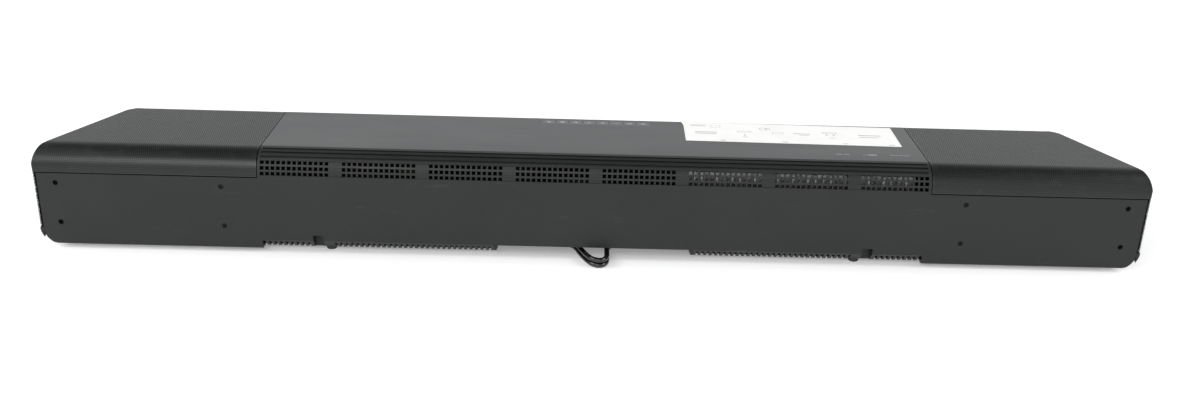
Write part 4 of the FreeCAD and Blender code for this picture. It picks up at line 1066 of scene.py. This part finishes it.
def tie():
    """Hook-and-loop strap round the hank's waist, its end lapped over itself."""
    low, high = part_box("cord_tie")
    half_y, half_z = (high.y - low.y) / 2, (high.z - low.z) / 2
    middle_y, middle_z = (low.y + high.y) / 2, (low.z + high.z) / 2
    path = []
    for i in range(STRAP_STEPS + STRAP_LAP + 1):
        a = 2 * math.pi * i / STRAP_STEPS + STRAP_START
        c, s = math.cos(a), math.sin(a)
        y = max(-1, min(1, c * STRAP_FLATS)) * (half_y - STRAP_R) + c * STRAP_R
        z = max(-1, min(1, s * STRAP_FLATS)) * (half_z - STRAP_R) + s * STRAP_R
        inner = TIE_T * (0.55 if i < STRAP_STEPS else -0.05) + 0.5 * TIE_T * (i < STRAP_LAP)
        shrink = 1 - inner / half_z
        path.append((middle_y + y * (1 - inner / half_y), middle_z + z * shrink))
    points, faces, steps = [], [], 6
    for y, z in path:
        for j in range(steps + 1):
            points.append(Vector((TIE_X + TIE_W * (j / steps - 0.5), y, z)))
    row = steps + 1
    for i in range(len(path) - 1):
        for j in range(steps):
            a = i * row + j
            faces.append((a, a + 1, a + row + 1, a + row))
    strap = piece("cord_tie_strap", plain_mesh("cord_tie_strap", points, faces), "tie_fabric",
                  ["cord_tie"])
    thick = strap.modifiers.new("cloth", "SOLIDIFY")
    thick.thickness, thick.offset = 0.5 * TIE_T, 0.0
    return strap


def mains_cord():
    cord = piece("mains_cord_whole", cord_curve(), "cord_black",
                 ["mains_cord", "cord_hank", "cord_tail"])
    going = [gland(), plug(), tie(), frame["nodes"]["plug_pins"]]
    tuple(LEAD[0])


# ---- Wadding ----

PAD_CUTS, LUMP, SINK = 31, 1.6 * MM, 0.4 * MM
SIDE_PULL, END_PULL, CROWN = 0.10, 0.05, 0.22


def pad(node):
    """Loose block of wadding: crowned, with sides that pull in and lumps all over."""
    low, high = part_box(node)
    middle, half = (low + high) / 2, (high - low) / 2
    shell = bmesh.new()
    bmesh.ops.create_cube(shell, size=2.0)
    bmesh.ops.subdivide_edges(shell, edges=shell.edges, cuts=PAD_CUTS, use_grid_fill=True)
    for vert in shell.verts:
        u, v, w = vert.co
        edge = 1 - SIDE_PULL * abs(w) ** 3
        pull = 1 - END_PULL * (1 - min(1, abs(u * v)))
        crown = 1 - CROWN + CROWN * (1 - u ** 4) * (1 - v ** 4)
        flat = w * crown if w > 0 else w
        spot = Vector((u * half.x * edge * pull, v * half.y * edge * pull, flat * half.z))
        lump = noise.fractal(spot * 70 + middle * 30, 0.8, 2.1, 4) * LUMP
        inward = Vector((u, v, w)).normalized() * (abs(lump) + SINK)
        vert.co = middle + spot - inward
    name = f"{node}_block"
    mesh = bpy.data.meshes.new(name)
    shell.to_mesh(mesh)
    shell.free()
    mesh.shade_smooth()
    piece(name, mesh, "wadding_white", [node])


# ---- Carried-over parts ----

SPLIT_WELD, SOFT_ANGLE = 0.005 * MM, math.radians(34)


def soft_corners():
    """Welds a drawn part's loose triangles and rounds its shading over shallow edges."""
    r = Recipe("soft_corners", {})
    whole = r.add("GeometryNodeMergeByDistance", {},
                  {0: r.given["Geometry"], "Distance": SPLIT_WELD})
    whole = r.add("GeometryNodeSetShadeSmooth", {"domain": "FACE"}, {0: whole})
    sharp = r.add("GeometryNodeInputMeshEdgeAngle").above(SOFT_ANGLE)
    r.give(r.add("GeometryNodeSetShadeSmooth", {"domain": "EDGE"},
                 {0: whole, "Selection": sharp, "Shade Smooth": False}))
    return r.tree


def dress_parts():
    """Every part that is carried over gets its finish and soft shading."""
    tree = soft_corners()
    slots = {row["node"]: row["material_slot"] for row in frame["record"]["subparts"]}
    for name, node in frame["nodes"].items():
        node.data.materials.clear()
        node.data.materials.append(FINISHES[slots[name]])
        if node.hide_render:
            continue
        node.modifiers.new("corners", "NODES").node_group = tree
        even = node.modifiers.new("even", "WEIGHTED_NORMAL")
        even.keep_sharp = True


# ---- Studio ----

CAMERA_AT = Vector((13.8, 1286.5, 566.7)) * MM
PITCH_DOWN, YAW, ROLL = math.radians(22.42), math.radians(-0.91), math.radians(1.75)
LENS, SENSOR, NEAREST, FARTHEST = 36.57, 36.0, 0.02, 60
SKY_LOW, SKY_HIGH, HORIZON, ZENITH = 0.5, 0.9, 1.0, 0.06     # heights, then brightness
SKY_TINT, LIGHT_AIM = (0.985, 0.995, 1.0, 1), Vector((0, 0, 0.06))
LIGHTS = [("rear_key", (1.2, 3.4, 2.6), (2.5, 1.6), 55)]     # name, place, size, watts
LIGHTS += [(f"side_fill_{side}", (3.2 * side, 0.4, 2.6), (2.2, 1.6), 60) for side in (-1, 1)]
FLOOR_HALF = 6.0


def camera():
    """Looks at the rear from above, very slightly turned and tilted."""
    ahead = Vector((math.sin(YAW), -math.cos(YAW), 0))
    right = Vector((-math.cos(YAW), -math.sin(YAW), 0))
    sight = ahead * math.cos(PITCH_DOWN) - Vector((0, 0, math.sin(PITCH_DOWN)))
    up = ahead * math.sin(PITCH_DOWN) + Vector((0, 0, math.cos(PITCH_DOWN)))
    turned = right * math.cos(ROLL) + up * math.sin(ROLL)
    upright = up * math.cos(ROLL) - right * math.sin(ROLL)
    data = bpy.data.cameras.new("camera")
    data.sensor_width, data.sensor_fit, data.lens = SENSOR, "HORIZONTAL", LENS
    data.clip_start, data.clip_end = NEAREST, FARTHEST
    obj = placed("camera", data)
    obj.matrix_world = Matrix((
        (turned.x, upright.x, -sight.x, CAMERA_AT.x),
        (turned.y, upright.y, -sight.y, CAMERA_AT.y),
        (turned.z, upright.z, -sight.z, CAMERA_AT.z),
        (0, 0, 0, 1)))
    bpy.context.scene.camera = obj


def soft_light(name, place, size, power):
    data = bpy.data.lights.new(name, "AREA")
    data.shape, data.size, data.size_y, data.energy = "RECTANGLE", size[0], size[1], power
    turn = (LIGHT_AIM - Vector(place)).to_track_quat("-Z", "Y")
    placed(name, data).matrix_world = Matrix.Translation(place) @ turn.to_matrix().to_4x4()


def studio():
    half = FLOOR_HALF
    corners = [(-half, -half, 0), (half, -half, 0), (half, half, 0), (-half, half, 0)]
    floor = placed("floor", plain_mesh("floor", corners, [(0, 1, 2, 3)]))
    floor.data.materials.append(studio_floor("floor"))
    floor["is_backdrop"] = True
    world = bpy.data.worlds.new("studio")
    world.use_nodes = True
    net = Net(world.node_tree)
    _, _, height = net.split(net.add("ShaderNodeTexCoord", {}, {}, "Generated"))
    high = net.add("ShaderNodeMapRange", {"interpolation_type": "SMOOTHSTEP"},
                   {0: height, 1: SKY_LOW, 2: SKY_HIGH, 3: HORIZON, 4: ZENITH})
    background = world.node_tree.nodes["Background"]
    background.inputs["Color"].default_value = SKY_TINT
    world.node_tree.links.new(high.socket, background.inputs["Strength"])
    bpy.context.scene.world = world
    bpy.context.scene.view_settings.view_transform = "Standard"
    for light in LIGHTS:
        soft_light(*light)


mains_cord()
end_caps()
front_grille()
label_and_print()
for side in ("left", "right"):
    pad(f"wadding_{side}")
dress_parts()
camera()
studio()

sizes = {"cad": CAD_BOX, "visual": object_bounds()}
{name: [list(corner) for corner in box_] for name, box_ in sizes.items()}
